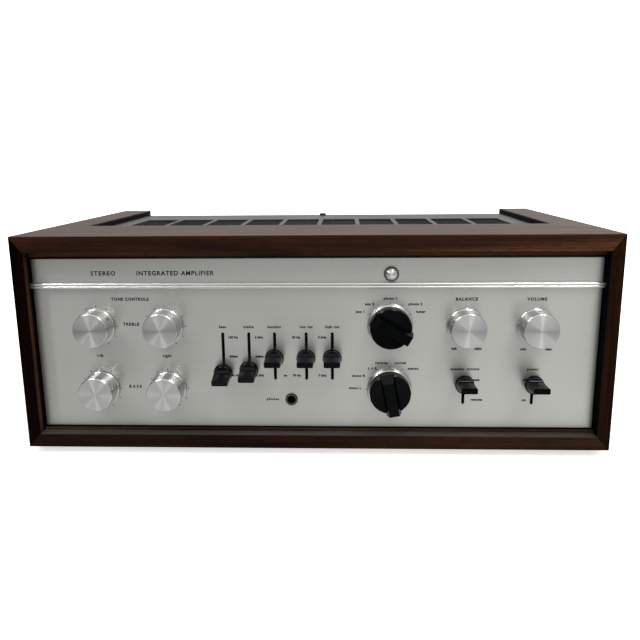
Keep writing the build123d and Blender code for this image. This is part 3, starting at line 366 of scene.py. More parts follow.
def turned_aluminium(name, roughness, anisotropy, shade):
    """Aluminium turned on a lathe: fine rings round the Y axis of the piece."""
    material = surface(name, Metallic=1.0, Anisotropic=anisotropy,
                       Anisotropic_Rotation=0.25)
    tangent = add(material, "Tangent")
    tangent.direction_type = "RADIAL"
    tangent.axis = "Y"
    join(material, tangent.outputs["Tangent"], shader_of(material).inputs["Tangent"])
    ring = rings(material)
    colour = ramp(material, ring, [
        (0.3, tuple(0.93 * part for part in shade)),
        (0.7, shade)])
    colour = tinted(material, colour, SIDE_TONE, edgewise(material))
    rough = span(material, ring, 0.3, 0.7, roughness + 0.01, roughness - 0.01)
    return finish_surface(material, colour, rough)


def edgewise(material):
    """1 on faces that look across the Y axis, 0 on faces that look along it."""
    shape = add(material, "NewGeometry")
    parts = add(material, "SeparateXYZ")
    join(material, shape.outputs["True Normal"], parts.inputs[0])
    square = product(material, parts.outputs[1], parts.outputs[1])
    return span(material, square, 0.3, 0.7, 1.0, 0.0)


def rings(material):
    """Noise that changes only with the distance from a turned part's middle."""
    place = add(material, "TexCoord")
    centred = add(material, "VectorMath")
    centred.operation = "SUBTRACT"
    centred.inputs[1].default_value = (0.5, 0.5, 0.5)
    join(material, place.outputs["Generated"], centred.inputs[0])
    flat = add(material, "VectorMath")
    flat.operation = "MULTIPLY"
    flat.inputs[1].default_value = (1.0, 0.0, 1.0)
    join(material, centred.outputs["Vector"], flat.inputs[0])
    radius = add(material, "VectorMath")
    radius.operation = "LENGTH"
    join(material, flat.outputs["Vector"], radius.inputs[0])
    texture = add(material, "TexNoise", Scale=90.0, Detail=4.0)
    texture.noise_dimensions = "1D"
    join(material, radius.outputs["Value"], texture.inputs["W"])
    return texture.outputs["Fac"]


def bright_strip():
    """Polished extruded aluminium, with faint draw lines along X."""
    material = surface("bright_strip", Metallic=1.0)
    line = noise(material, (3.0, 1800.0, 1800.0), detail=2.0)
    colour = ramp(material, line, [
        (0.3, (0.60, 0.60, 0.585)),
        (0.7, (0.66, 0.66, 0.645))])
    return finish_surface(material, colour, span(material, line, 0.3, 0.7, 0.31, 0.28))


def moulded_black(name, shade, roughness, gloss=0.22):
    """Black moulded plastic with a slight skin texture."""
    material = surface(name, Specular_IOR_Level=gloss)
    skin = noise(material, (900.0, 900.0, 900.0), detail=3.0)
    smear = noise(material, (60.0, 60.0, 60.0), detail=3.0)
    colour = ramp(material, smear, [
        (0.3, tuple(0.75 * part for part in shade)),
        (0.7, shade)])
    rough = span(material, smear, 0.3, 0.7, roughness - 0.05, roughness + 0.06)
    return finish_surface(material, colour, rough, bump(material, skin, 0.00003, 0.4))


def plated_metal(name, shade, roughness, scale=260.0):
    """Plated or drawn metal with a fine, uneven lustre."""
    material = surface(name, Metallic=1.0)
    wear = noise(material, (scale, scale, scale), detail=5.0)
    colour = ramp(material, wear, [
        (0.3, tuple(0.78 * part for part in shade)),
        (0.7, shade)])
    rough = span(material, wear, 0.3, 0.7, roughness + 0.08, roughness - 0.05)
    return finish_surface(material, colour, rough, bump(material, wear, 0.00002, 0.3))


def sprayed_paint(name, shade, roughness, gloss=0.4):
    """Stove enamel on steel, with orange peel and a little dust."""
    material = surface(name, Specular_IOR_Level=gloss)
    peel = noise(material, (700.0, 700.0, 700.0), detail=2.0)
    dust = noise(material, (16.0, 16.0, 16.0), detail=6.0)
    colour = ramp(material, dust, [
        (0.3, tuple(0.86 * part for part in shade)),
        (0.7, tuple(1.08 * part for part in shade))])
    rough = span(material, dust, 0.3, 0.7, roughness + 0.08, roughness - 0.04)
    return finish_surface(material, colour, rough, bump(material, peel, 0.00004, 0.5))


def jack_socket():
    """Black moulded jack with a thin gilt ring round its hole."""
    x, z = middle_of("phones_jack")
    material = surface("jack_socket", Specular_IOR_Level=0.25)
    place = add(material, "TexCoord")
    centred = add(material, "VectorMath")
    centred.operation = "SUBTRACT"
    centred.inputs[1].default_value = (x, 0.0, z)
    join(material, place.outputs["Object"], centred.inputs[0])
    flat = add(material, "VectorMath")
    flat.operation = "MULTIPLY"
    flat.inputs[1].default_value = (1.0, 0.0, 1.0)
    join(material, centred.outputs["Vector"], flat.inputs[0])
    radius = add(material, "VectorMath")
    radius.operation = "LENGTH"
    join(material, flat.outputs["Vector"], radius.inputs[0])
    wear = noise(material, (400.0, 400.0, 400.0))
    reach = span(material, radius.outputs["Value"], 0.0, 10.0 * MM, 0.0, 1.0)
    colour = ramp(material, reach, [
        (0.395, (0.003, 0.003, 0.003)),
        (0.410, (0.180, 0.160, 0.110)),
        (0.440, (0.200, 0.180, 0.130)),
        (0.455, (0.004, 0.004, 0.004))])
    return finish_surface(material, colour, span(material, wear, 0.3, 0.7, 0.4, 0.5))


def laminate():
    """Brown phenolic board with paper fibres."""
    material = surface("phenolic", Specular_IOR_Level=0.4)
    fibre = noise(material, (90.0, 400.0, 400.0), detail=6.0)
    colour = ramp(material, fibre, [
        (0.3, (0.10, 0.045, 0.018)),
        (0.7, (0.17, 0.085, 0.035))])
    return finish_surface(material, colour, span(material, fibre, 0.3, 0.7, 0.55, 0.42))


def mica():
    """Pale mica sheet with cleavage flecks."""
    material = surface("mica_sheet", Specular_IOR_Level=0.5)
    fleck = noise(material, (700.0, 700.0, 100.0), detail=5.0)
    colour = ramp(material, fleck, [
        (0.35, (0.42, 0.38, 0.30)),
        (0.65, (0.62, 0.58, 0.48))])
    return finish_surface(material, colour, span(material, fleck, 0.3, 0.7, 0.35, 0.2))


def rubber():
    """Matt black rubber with a mould bloom."""
    material = surface("foot_rubber", Specular_IOR_Level=0.3)
    bloom = noise(material, (220.0, 220.0, 220.0), detail=5.0)
    colour = ramp(material, bloom, [
        (0.3, (0.010, 0.010, 0.010)),
        (0.7, (0.028, 0.027, 0.026))])
    return finish_surface(material, colour, span(material, bloom, 0.3, 0.7, 0.8, 0.65))


def glass(name, tint):
    """Blown or moulded clear glass with slight waves."""
    material = surface(name, Transmission_Weight=1.0, IOR=1.5)
    wave = noise(material, (45.0, 45.0, 45.0), detail=2.0)
    colour = ramp(material, wave, [
        (0.3, tuple(0.96 * part for part in tint)),
        (0.7, tint)])
    rough = span(material, wave, 0.3, 0.7, 0.02, 0.04)
    return finish_surface(material, colour, rough, bump(material, wave, 0.0001, 0.1))


def printing_ink(name, shade):
    """Silk-screen ink, slightly uneven in cover."""
    material = surface(name, Specular_IOR_Level=0.3)
    cover = noise(material, (900.0, 900.0, 900.0), detail=3.0)
    colour = ramp(material, cover, [
        (0.3, shade),
        (0.8, tuple(1.5 * part + 0.004 for part in shade))])
    return finish_surface(material, colour, span(material, cover, 0.3, 0.7, 0.5, 0.6))


def middle_of(node):
    """x and z of the middle of a node's box."""
    low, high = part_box(node)
    return (low.x + high.x) / 2, (low.z + high.z) / 2


def paint_nodes(material, *names):
    """Gives a material to CAD nodes by name."""
    for name in names:
        for place in nodes[name].material_slots:
            place.material = material


def finish_cabinet():
    paint_nodes(walnut("walnut_top", 0, (0.60, 0.46, 0.36), painted_below_top, 0.12),
                "cabinet_top_board")
    paint_nodes(walnut("walnut_bottom", 0, (0.24, 0.22, 0.22), painted_behind_panel, 0.05,
                        dust=0.85), "cabinet_bottom_board")
    paint_nodes(walnut("walnut_fillet", 0, (0.13, 0.19, 0.27), painted_behind_panel,
                        dust=0.55, stain=(0.80, 1.05, 1.30)),
                "panel_fillets")
    paint_nodes(walnut("walnut_left", 2, (0.075, 0.05, 0.04), painted_inside(6.2 * MM), 0.02),
                "cabinet_left_side")
    paint_nodes(walnut("walnut_right", 2, (0.115, 0.09, 0.06), painted_inside(0.8 * MM), 0.03),
                "cabinet_right_side")
    paint_nodes(rubber(), "rubber_feet")


def finish_front():
    paint_nodes(brushed_panel(), "front_panel")
    paint_nodes(bright_strip(), "panel_bead")
    knob = turned_aluminium("turned_knob", 0.29, 1.0, (0.66, 0.665, 0.655))
    paint_nodes(knob, "treble_knob_left", "treble_knob_right", "bass_knob_left",
                "bass_knob_right", "balance_knob", "volume_knob")
    ring = turned_aluminium("turned_skirt", 0.27, 0.6, (0.80, 0.80, 0.785))
    paint_nodes(ring, "input_selector_skirt", "mode_selector_skirt")
    paint_nodes(moulded_black("selector_black", (0.0009, 0.0016, 0.0019), 0.18, 0.08),
                "input_selector_knob", "mode_selector_knob")
    paint_nodes(moulded_black("lever_black", (0.0016, 0.0024, 0.0028), 0.20, 0.10),
                *[joint["child"].replace("_body", "") for joint in frame["joints"]
                  if joint["child"].endswith("_body")])
    paint_nodes(plated_metal("nickel", (0.62, 0.60, 0.55), 0.24), "rca_jacks",
                "speaker_terminals")
    paint_nodes(jack_socket(), "phones_jack")
    paint_nodes(plated_metal("lamp_bezel", (0.20, 0.195, 0.145), 0.40), "pilot_lamp_bezel")
    paint_nodes(turned_aluminium("lamp_foil", 0.48, 0.9, (0.82, 0.83, 0.84)),
                "pilot_lamp_jewel")


def finish_inside():
    paint_nodes(plated_metal("chassis_plate", (0.55, 0.54, 0.50), 0.4, 60.0), "chassis")
    paint_nodes(sprayed_paint("black_enamel", (0.012, 0.012, 0.012), 0.45), "sub_panel",
                "output_transformers", "power_transformer", "screws", "vent_mesh")
    paint_nodes(plated_metal("bright_steel", (0.56, 0.56, 0.55), 0.32), "lever_switches",
                "potentiometers", "rotary_switches", "filter_capacitors",
                *[name for name in nodes if "_shaft" in name])
    paint_nodes(moulded_black("moulded_parts", (0.014, 0.013, 0.012), 0.5), "ac_outlets",
                "cord_gland", "fuse_holder", "terminal_strip", "tube_sockets",
                "power_tube_bases")
    paint_nodes(laminate(), "circuit_board", "jack_board")
    paint_nodes(glass("valve_glass", (0.98, 0.98, 0.98)), "power_tube_glasses",
                "signal_tubes")


def finish_covers():
    paint_nodes(sprayed_paint("cover_paint", (0.052, 0.054, 0.050), 0.40, 0.30), "vent_cover")
    paint_nodes(sprayed_paint("rear_paint", (0.060, 0.063, 0.058), 0.5), "rear_panel")


# --------------------------------------------------------------- mesh building

def new_piece(name, mesh, material, body="amplifier"):
    """A piece of that mesh and material which rides on a CAD body."""
    mesh.materials.clear()
    mesh.materials.append(material)
    piece = bpy.data.objects.new(name, mesh)
    bpy.context.scene.collection.objects.link(piece)
    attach(piece, body)
    return piece


def islands(node):
    """The boxes of a node's separate solids as (low, high), from left to right."""
    mesh = bmesh.new()
    mesh.from_mesh(nodes[node].data)
    bmesh.ops.remove_doubles(mesh, verts=mesh.verts, dist=0.002 * MM)
    seen = set()
    boxes = []
    for start in mesh.verts:
        if start in seen:
            continue
        seen.add(start)
        group = [start]
        for vertex in group:
            for edge in vertex.link_edges:
                other = edge.other_vert(vertex)
                if other not in seen:
                    seen.add(other)
                    group.append(other)
        low = Vector([min(vertex.co[axis] for vertex in group) for axis in range(3)])
        high = Vector([max(vertex.co[axis] for vertex in group) for axis in range(3)])
        boxes.append((low, high))
    mesh.free()
    return sorted(boxes, key=lambda box: (round(box[0].x, 5), round(box[0].z, 5)))


def word_mesh(text, cap_height, spacing):
    """A flat word, centred on the origin, with the thickness of the ink."""
    curve = bpy.data.curves.new("word", "FONT")
    curve.body = text
    curve.size = cap_height / CAP_SHARE
    curve.align_x = "CENTER"
    curve.align_y = "CENTER"
    curve.space_character = spacing
    curve.resolution_u = 3
    curve.extrude = INK / 2
    curve.offset = STROKE
    word = bpy.data.objects.new("word", curve)
    mesh = bpy.data.meshes.new_from_object(word)
    bpy.data.objects.remove(word)
    bpy.data.curves.remove(curve)
    return mesh


def facing_front(x, z):
    """Stands a flat XY shape on the front panel at x, z in millimetres."""
    place = Matrix.Translation((x * MM, PANEL_FACE - INK, z * MM))
    return place @ Matrix.Rotation(math.radians(90), 4, "X")


def facing_back(x, z):
    """Stands a flat XY shape on the rear panel at x, z in millimetres."""
    place = Matrix.Translation((x * MM, REAR_FACE + INK, z * MM))
    return place @ Matrix.Rotation(math.radians(180), 4, "Z") @ Matrix.Rotation(
        math.radians(90), 4, "X")


def disc(mesh, matrix, radius):
    """Adds a flat disc of ink."""
    bmesh.ops.create_cone(mesh, cap_ends=True, segments=16, radius1=radius,
                          radius2=radius, depth=INK, matrix=matrix)


def bar(mesh, matrix, width, height, depth=INK):
    """Adds a box centred on a matrix."""
    bmesh.ops.create_cube(mesh, size=1.0, matrix=matrix @ Matrix.Diagonal(
        (width, height, depth, 1.0)))


def printed(name, words, material, stand, dots=(), bars=()):
    """One piece of all the ink on a panel.

    words: (text, x, z, cap height, spacing); dots: (x, z, radius);
    bars: (x, z, width, height, turn), all in millimetres and degrees.
    """
    ink = bmesh.new()
    for text, x, z, cap, spacing in words:
        mesh = word_mesh(text, cap * MM, spacing)
        mesh.transform(stand(x, z))
        ink.from_mesh(mesh)
        bpy.data.meshes.remove(mesh)
    for x, z, radius in dots:
        disc(ink, stand(x, z), radius * MM)
    for x, z, width, height, turn in bars:
        matrix = stand(x, z) @ Matrix.Rotation(math.radians(turn), 4, "Z")
        bar(ink, matrix, width * MM, height * MM)
    mesh = bpy.data.meshes.new(name)
    ink.to_mesh(mesh)
    ink.free()
    return new_piece(name, mesh, material)


# -------------------------------------------------------------------- lettering

def centre_of(joint):
    """x and z of a joint's axis in millimetres."""
    place = joints[joint]["pos_m"]
    return place[0] / MM, place[2] / MM


def dial_marks(joint, radius, clock_angles):
    """Points round a dial as (x, z, clock angle), in millimetres and degrees."""
    x, z = centre_of(joint)
    return [(x + radius * math.sin(math.radians(angle)),
             z + radius * math.cos(math.radians(angle)), angle)
            for angle in clock_angles]


def beside(anchor, words):
    """Words placed by their offsets right and up from an anchor (x, z)."""
    x, z = anchor
    return [(text, x + right, z + up, cap, spacing)
            for text, right, up, cap, spacing in words]


def halfway(first, second):
    """x and z halfway between two joints' axes, in millimetres."""
    return tuple(sum(pair) / 2 for pair in zip(centre_of(first), centre_of(second)))


def title_words():
    """The name of the equipment, above the bead."""
    left = centre_of("treble_knob_left_turn")[0]
    bead_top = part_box("panel_bead")[1].z / MM
    return beside((left, bead_top), [
        ("STEREO", 8.3, 8.1, TITLE_CAP, 1.25),
        ("INTEGRATED AMPLIFIER", 69.3, 8.1, TITLE_CAP, 1.2)])


def tone_words():
    """Words among the four tone knobs."""
    words = beside(halfway("treble_knob_left_turn", "treble_knob_right_turn"), [
        ("TONE CONTROLS", 0.45, 23.5, HEADING_CAP, 1.12),
        ("TREBLE", 0.05, 1.7, HEADING_CAP, 1.25)])
    words += beside(halfway("bass_knob_left_turn", "bass_knob_right_turn"), [
        ("BASS", 0.05, 1.7, HEADING_CAP, 1.6)])
    words += beside(centre_of("treble_knob_left_turn"), [("left", 0.5, -26.3, 2.3, 1.2)])
    words += beside(centre_of("treble_knob_right_turn"), [("right", 0.2, -26.3, 2.3, 1.2)])
    return words


def level_words():
    """Words at the balance and volume knobs and the phones jack."""
    words = beside(centre_of("balance_knob_turn"), [
        ("BALANCE", 0.3, 23.3, HEADING_CAP, 1.25),
        ("left", -9.0, -19.5, SMALL_CAP, 1.1),
        ("right", 11.1, -19.5, SMALL_CAP, 1.1)])
    words += beside(centre_of("volume_knob_turn"), [
        ("VOLUME", 0.0, 23.2, HEADING_CAP, 1.25),
        ("min", -9.3, -19.8, SMALL_CAP, 1.1),
        ("max", 11.7, -19.8, SMALL_CAP, 1.1)])
    jack = tuple(place / MM for place in middle_of("phones_jack"))
    words += beside(jack, [("phones", -16.3, 0.1, SMALL_CAP, 1.25)])
    return words


def lever_words():
    """Words at the lever switches."""
    words = beside(centre_of("speaker_lever_tilt"), [
        ("speaker system", 0.8, 18.5, SMALL_CAP, 1.3),
        ("main", 10.5, 8.8, SMALL_CAP, 1.1),
        ("remote", 11.5, -9.0, SMALL_CAP, 1.1)])
    words += beside(centre_of("power_lever_tilt"), [
        ("power", -0.2, 18.4, SMALL_CAP, 1.3),
        ("off", -6.4, 8.9, SMALL_CAP, 1.1),
        ("on", -6.5, -9.2, SMALL_CAP, 1.1)])
    levers = [
        ("bass", "bass_turnover", 1, ("150 Hz", "defeat", "300 Hz")),
        ("treble", "treble_turnover", 1, ("6 kHz", "defeat", "3 kHz")),
        ("monitor", "tape_monitor", 1, ("", "", "on")),
        ("low cut", "low_cut", -1, ("30 Hz", "", "70 Hz")),
        ("high cut", "high_cut", -1, ("9 kHz", "", "7 kHz"))]
    for name, lever, side, positions in levers:
        axis = centre_of(f"{lever}_lever_tilt")
        words += beside(axis, [(name, 0.0, 25.9, SMALL_CAP, 1.2)])
        words += beside(axis, [(text, side * 8.6, up, SCALE_CAP, 1.05)
                               for text, up in zip(positions, (16.7, -0.2, -17.2)) if text])
    return words


def selector_words():
    """Words round the two selectors."""
    words = beside(centre_of("input_selector_turn"), [
        ("phono 1", 0.0, 23.4, SMALL_CAP, 1.15),
        ("aux 2", -17.4, 18.6, SMALL_CAP, 1.15),
        ("aux 1", -25.0, 12.0, SMALL_CAP, 1.15),
        ("phono 2", 20.8, 18.6, SMALL_CAP, 1.15),
        ("tuner", 25.4, 12.0, SMALL_CAP, 1.15)])
    words += beside(centre_of("mode_selector_turn"), [
        ("reverse", -7.0, 23.6, SMALL_CAP, 1.15),
        ("normal", 9.0, 23.6, SMALL_CAP, 1.15),
        ("L + R", -14.6, 18.6, SMALL_CAP, 1.15),
        ("stereo", 20.0, 18.6, SMALL_CAP, 1.15),
        ("mono R", -26.4, 12.0, SMALL_CAP, 1.15),
        ("mono L", -29.4, 1.0, SMALL_CAP, 1.15)])
    return words


def front_dots():
    """Scale dots round the six knobs."""
    tone = ("treble_knob_left_turn", "treble_knob_right_turn", "bass_knob_left_turn",
            "bass_knob_right_turn")
    dots = []
    for joint in tone:
        for x, z, _ in dial_marks(joint, 17.5, range(-150, 151, 30)):
            dots.append((x, z, 0.5))
    for x, z, _ in dial_marks("balance_knob_turn", 17.6, (0,)):
        dots.append((x, z, 0.42))
    return dots


def front_ticks():
    """Position ticks round the two selectors."""
    places = dial_marks("input_selector_turn", 19.9, (-60, -30, 0, 30, 60))
    places += dial_marks("mode_selector_turn", 19.9, (-90, -60, -30, 0, 30))
    return [(x, z, 0.45, 2.0, -angle) for x, z, angle in places]


def print_front():
    ink = printing_ink("black_ink", (0.003, 0.003, 0.003))
    words = title_words() + tone_words() + level_words() + lever_words() + selector_words()
    printed("front_legends", words, ink, facing_front, front_dots(), front_ticks())


def rear_words():
    """Words of the rear panel, placed from the pieces that they name."""
    words = []
    for (low, high), text in zip(islands("ac_outlets"), ("SWITCHED", "UNSWITCHED")):
        words.append((text, (low.x + high.x) / 2, high.z + 3.4 * MM, 2.4))
    low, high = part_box("ac_outlets")
    words.append(("AC OUTLETS", (low.x + high.x) / 2, high.z + 9.0 * MM, 3.0))
    for node, text in (("fuse_holder", "FUSE"), ("cord_gland", "AC INPUT")):
        low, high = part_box(node)
        words.append((text, (low.x + high.x) / 2, high.z + 4.0 * MM, 2.4))
    low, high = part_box("terminal_strip")
    words.append(("SPEAKERS", (low.x + high.x) / 2, high.z + 9.5 * MM, 3.0))
    taps = ("16", "8", "4", "0", "0", "4", "8", "16")
    step = (high.x - low.x) / len(taps)
    for place, tap in enumerate(taps):
        words.append((tap, low.x + (place + 0.5) * step, high.z + 3.6 * MM, 2.4))
    low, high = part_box("jack_board")
    sockets = ("MAIN IN", "PRE OUT", "TAPE IN", "TAPE OUT", "AUX 2", "AUX 1", "TUNER",
               "PHONO 2", "PHONO 1", "MIX")
    step = (high.x - low.x) / len(sockets)
    for place, text in enumerate(sockets):
        words.append((text, low.x + (place + 0.5) * step, high.z + 3.2 * MM, 1.9))
    return [(text, x / MM, z / MM, cap, 1.1) for text, x, z, cap in words]


def print_rear():
    ink = printing_ink("white_ink", (0.42, 0.42, 0.40))
    printed("rear_legends", rear_words(), ink, facing_back)


# ----------------------------------------------------- grub screws, gauze, valves

def build_grub_screws():
    """A socket screw in the hole of each knob, found from the hole's rim."""
    steel = plated_metal("grub_steel", (0.010, 0.010, 0.011), 0.5)
    for knob, out, angle in grub_holes():
        mesh = bmesh.new()
        bmesh.ops.create_cone(mesh, cap_ends=True, segments=ROUND_SIDES, radius1=GRUB_R,
                              radius2=GRUB_R - 0.1 * MM, depth=GRUB_TOP - GRUB_FOOT)
        crown = max(mesh.faces, key=lambda face: face.calc_center_median().z)
        bmesh.ops.inset_region(mesh, faces=[crown], thickness=0.75 * MM)
        bmesh.ops.translate(mesh, verts=crown.verts, vec=(0.0, 0.0, -1.2 * MM))
        x, z = middle_of(knob)
        turn = Matrix.Rotation(math.radians(angle), 4, "Y")
        place = Matrix.Translation((x, PANEL_FACE - out, z)) @ turn @ Matrix.Translation(
            (0.0, 0.0, (GRUB_TOP + GRUB_FOOT) / 2))
        mesh.transform(place)
        data = bpy.data.meshes.new(f"{knob}_grub_screw")
        mesh.to_mesh(data)
        mesh.free()
        screw = new_piece(f"{knob}_grub_screw", data, steel,
                          knob.replace("_knob", "_control"))


def grub_holes():
    """Each knob with its hole's distance out of the panel and clock angle.

    The hole's floor is flat and faces outwards, so its corners are the only
    ones of the knob about GRUB_FOOT from the axis and off the back hollow.
    """
    holes = []
    for knob in ("treble_knob_left", "treble_knob_right", "bass_knob_left",
                 "bass_knob_right", "balance_knob", "volume_knob"):
        x, z = middle_of(knob)
        floor = [vertex.co for vertex in nodes[knob].data.vertices
                 if GRUB_FOOT - 0.1 * MM < math.hypot(vertex.co.x - x, vertex.co.z - z)
                 < GRUB_FOOT + 0.3 * MM and PANEL_FACE - vertex.co.y > 5.5 * MM]
        middle = sum(floor, Vector()) / len(floor)
        angle = math.degrees(math.atan2(middle.x - x, middle.z - z))
        holes.append((knob, PANEL_FACE - middle.y, angle))
    return holes


def rod(mesh, start, end, radius):
    """Adds a straight round wire between two points."""
    run = end - start
    turn = run.to_track_quat("Z", "Y").to_matrix().to_4x4()
    bmesh.ops.create_cone(mesh, cap_ends=True, segments=WIRE_SIDES, radius1=radius,
                          radius2=radius, depth=run.length,
                          matrix=Matrix.Translation((start + end) / 2) @ turn)


def evenly(low, high, pitch):
    """Places spaced by about the pitch, centred between two ends."""
    count = int((high - low) / pitch)
    first = (low + high - (count - 1) * pitch) / 2
    return [first + place * pitch for place in range(count)]


def build_gauze():
    """Wire gauze behind the windows of the vent cover, in place of plain slats."""
    mesh = bmesh.new()
    for low, high in islands("vent_mesh"):
        radius = (high.z - low.z) / 4
        for y in evenly(low.y, high.y, GAUZE_PITCH):
            rod(mesh, Vector((low.x, y, low.z + radius)), Vector((high.x, y, low.z + radius)),
                radius)
        for x in evenly(low.x, high.x, GAUZE_PITCH):
            rod(mesh, Vector((x, low.y, high.z - radius)), Vector((x, high.y, high.z - radius)),
                radius)
    data = bpy.data.meshes.new("vent_gauze")
    mesh.to_mesh(data)
    mesh.free()
    wire = sprayed_paint("gauze_black", (0.006, 0.006, 0.006), 0.5, 0.2)
    gauze = new_piece("vent_gauze", data, wire)
    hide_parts("vent_mesh")


def shell(mesh, centre, half_x, half_y, low, high):
    """Adds an upright closed tube of oval section."""
    place = Matrix.Translation((centre.x, centre.y, (low + high) / 2))
    bmesh.ops.create_cone(mesh, cap_ends=True, segments=ROUND_SIDES, radius1=1.0, radius2=1.0,
                          depth=high - low, matrix=place @ Matrix.Diagonal(
                              (half_x, half_y, 1.0, 1.0)))


def build_electrodes(name, node, plate_x, plate_y, foot, head):
    """Plates, mica discs, support rods and getter ring inside each valve of a node.

    plate_x, plate_y: half widths of the plate; foot, head: its clearance from
    the glass below and above, all in metres.
    """
    plates = bmesh.new()
    micas = bmesh.new()
    for low, high in islands(node):
        centre = (low + high) / 2
        bottom = low.z + foot
        top = high.z - head
        shell(plates, centre, plate_x, plate_y, bottom, top)
        fin = Matrix.Translation((centre.x, centre.y, (bottom + top) / 2))
        bar(plates, fin, 2.5 * plate_x, 0.6 * MM, top - bottom)
        for side in (-1, 1):
            across = Vector((side * plate_x * 1.15, 0.0, 0.0))
            rod(plates, Vector((centre.x, centre.y, bottom - 2 * MM)) + across,
                Vector((centre.x, centre.y, top + 3 * MM)) + across, 0.4 * MM)
        for height in (bottom - 1 * MM, top + 1 * MM):
            shell(micas, centre, plate_x * 1.4, plate_y * 1.35, height, height + 0.4 * MM)
    for part, label, material in (
            (plates, "plates", plated_metal("valve_plate", (0.085, 0.085, 0.09), 0.5)),
            (micas, "micas", mica())):
        data = bpy.data.meshes.new(f"{name}_{label}")
        part.to_mesh(data)
        part.free()
        new_piece(f"{name}_{label}", data, material)


# --------------------------------------------------------------------- surround

def build_floor():
    """A plain pale floor."""
    mesh = bpy.data.meshes.new("floor")
    half = 6.0
    mesh.from_pydata([(-half, -half, 0), (half, -half, 0), (half, half, 0),
                      (-half, half, 0)], [], [(0, 1, 2, 3)])
    floor = bpy.data.objects.new("floor", mesh)
    bpy.context.scene.collection.objects.link(floor)
    material = surface("floor_paper", Roughness=0.9, Specular_IOR_Level=0.1)
    grain = noise(material, (30.0, 30.0, 30.0))
    finish_surface(material, ramp(material, grain, [
        (0.3, (0.90, 0.90, 0.90)),
        (0.7, (0.93, 0.93, 0.93))]))
    place = add(material, "TexCoord")
    distance = add(material, "VectorMath")
    distance.operation = "LENGTH"
    join(material, place.outputs["Object"], distance.inputs[0])
    glow = span(material, distance.outputs["Value"], 0.3, 1.6, 0.62, 1.02)
    join(material, glow, shader_of(material).inputs["Emission Strength"])
    shader_of(material).inputs["Emission Color"].default_value = (1.0, 1.0, 1.0, 1.0)
    mesh.materials.append(material)
    floor.visible_glossy = False
    floor.visible_diffuse = False


def soft_light(name, place, target, size, power):
    """A long area light aimed at a point, seen only in reflections."""
    data = bpy.data.lights.new(name, "AREA")
    data.shape = "RECTANGLE"
    data.size, data.size_y = size
    data.energy = power
    light = bpy.data.objects.new(name, data)
    aim = (Vector(target) - Vector(place)).to_track_quat("-Z", "Y")
    light.matrix_world = Matrix.Translation(place) @ aim.to_matrix().to_4x4()
    light.visible_diffuse = False
    bpy.context.scene.collection.objects.link(light)


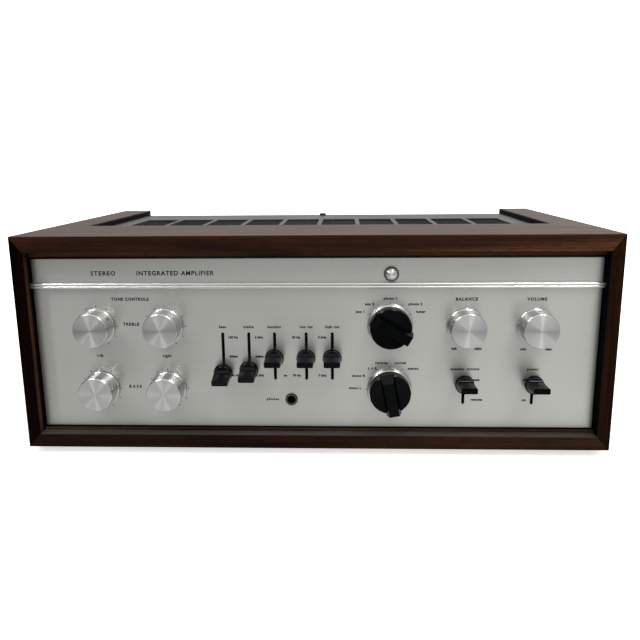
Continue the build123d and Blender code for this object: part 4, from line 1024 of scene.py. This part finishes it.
def light_studio():
    """White surroundings for the camera, a room that is bright overhead for the rest."""
    world = bpy.data.worlds.new("studio")
    world.use_nodes = True
    bpy.context.scene.world = world
    tree = world.node_tree
    direction = tree.nodes.new("ShaderNodeTexCoord")
    parts = tree.nodes.new("ShaderNodeSeparateXYZ")
    tree.links.new(direction.outputs["Generated"], parts.inputs[0])
    height = room_ramp(tree, parts.outputs["Z"], [
        (0.00, 0.95), (0.25, 0.88), (0.33, 0.66), (0.36, 0.36), (0.385, 0.13), (0.43, 0.11),
        (0.50, 0.11), (0.60, 0.25), (0.75, 0.75), (0.90, 1.50), (1.00, 1.95)])
    depth = room_ramp(tree, parts.outputs["Y"], [(0.0, 0.0), (0.62, 0.0), (0.95, 0.28)])
    side = room_ramp(tree, parts.outputs["X"], [
        (0.0, 0.0), (0.32, 0.0), (0.65, 0.20), (1.0, 0.45)])
    total = sum_of(tree, sum_of(tree, height, depth), side)
    room = tree.nodes["Background"]
    room.inputs["Color"].default_value = (1.0, 1.0, 0.99, 1.0)
    tree.links.new(total, room.inputs["Strength"])
    paper = tree.nodes.new("ShaderNodeBackground")
    paper.inputs["Color"].default_value = (1.0, 1.0, 1.0, 1.0)
    paper.inputs["Strength"].default_value = 1.02
    path = tree.nodes.new("ShaderNodeLightPath")
    mix = tree.nodes.new("ShaderNodeMixShader")
    tree.links.new(path.outputs["Is Camera Ray"], mix.inputs[0])
    tree.links.new(room.outputs[0], mix.inputs[1])
    tree.links.new(paper.outputs[0], mix.inputs[2])
    tree.links.new(mix.outputs[0], tree.nodes["World Output"].inputs["Surface"])
    soft_light("left_tube", (-1.12, -0.73, 1.52), (0.0, -0.1, 0.1), (0.08, 0.9), 17.0)
    soft_light("right_tube", (0.69, -0.73, 1.70), (0.0, -0.1, 0.1), (0.08, 0.9), 17.0)


def room_ramp(tree, component, stops):
    """A brightness read along one component of the direction, from -1 to 1."""
    reach = tree.nodes.new("ShaderNodeMapRange")
    reach.inputs["From Min"].default_value = -1.0
    tree.links.new(component, reach.inputs["Value"])
    node = tree.nodes.new("ShaderNodeValToRGB")
    marks = node.color_ramp.elements
    while len(marks) < len(stops):
        marks.new(0.5)
    peak = max(value for _, value in stops)
    for mark, (place, value) in zip(marks, stops):
        mark.position = place
        mark.color = (value / peak, value / peak, value / peak, 1.0)
    tree.links.new(reach.outputs["Result"], node.inputs["Fac"])
    scale = tree.nodes.new("ShaderNodeMath")
    scale.operation = "MULTIPLY"
    scale.inputs[1].default_value = peak
    tree.links.new(node.outputs["Color"], scale.inputs[0])
    return scale.outputs[0]


def sum_of(tree, first, second):
    node = tree.nodes.new("ShaderNodeMath")
    tree.links.new(first, node.inputs[0])
    tree.links.new(second, node.inputs[1])
    return node.outputs[0]


def place_camera():
    data = bpy.data.cameras.new("camera")
    data.lens = LENS_MM
    data.shift_x, data.shift_y = SHIFT
    data.clip_start = 0.01
    camera = bpy.data.objects.new("camera", data)
    turn = (Matrix.Rotation(YAW_LEFT, 4, "Z")
            @ Matrix.Rotation(math.radians(90) - PITCH_DOWN, 4, "X")
            @ Matrix.Rotation(ROLL, 4, "Z"))
    camera.matrix_world = Matrix.Translation(EYE) @ turn
    bpy.context.scene.collection.objects.link(camera)
    bpy.context.scene.camera = camera
    bpy.context.scene.view_settings.view_transform = "Standard"


place_camera()
light_studio()
build_floor()
finish_cabinet()
finish_front()
finish_inside()
finish_covers()
print_front()
print_rear()
build_grub_screws()
build_gauze()
build_electrodes("power_valve", "power_tube_glasses", 8.5 * MM, 6.0 * MM, 10 * MM, 20 * MM)
build_electrodes("signal_valve", "signal_tubes", 5.5 * MM, 3.5 * MM, 8 * MM, 12 * MM)
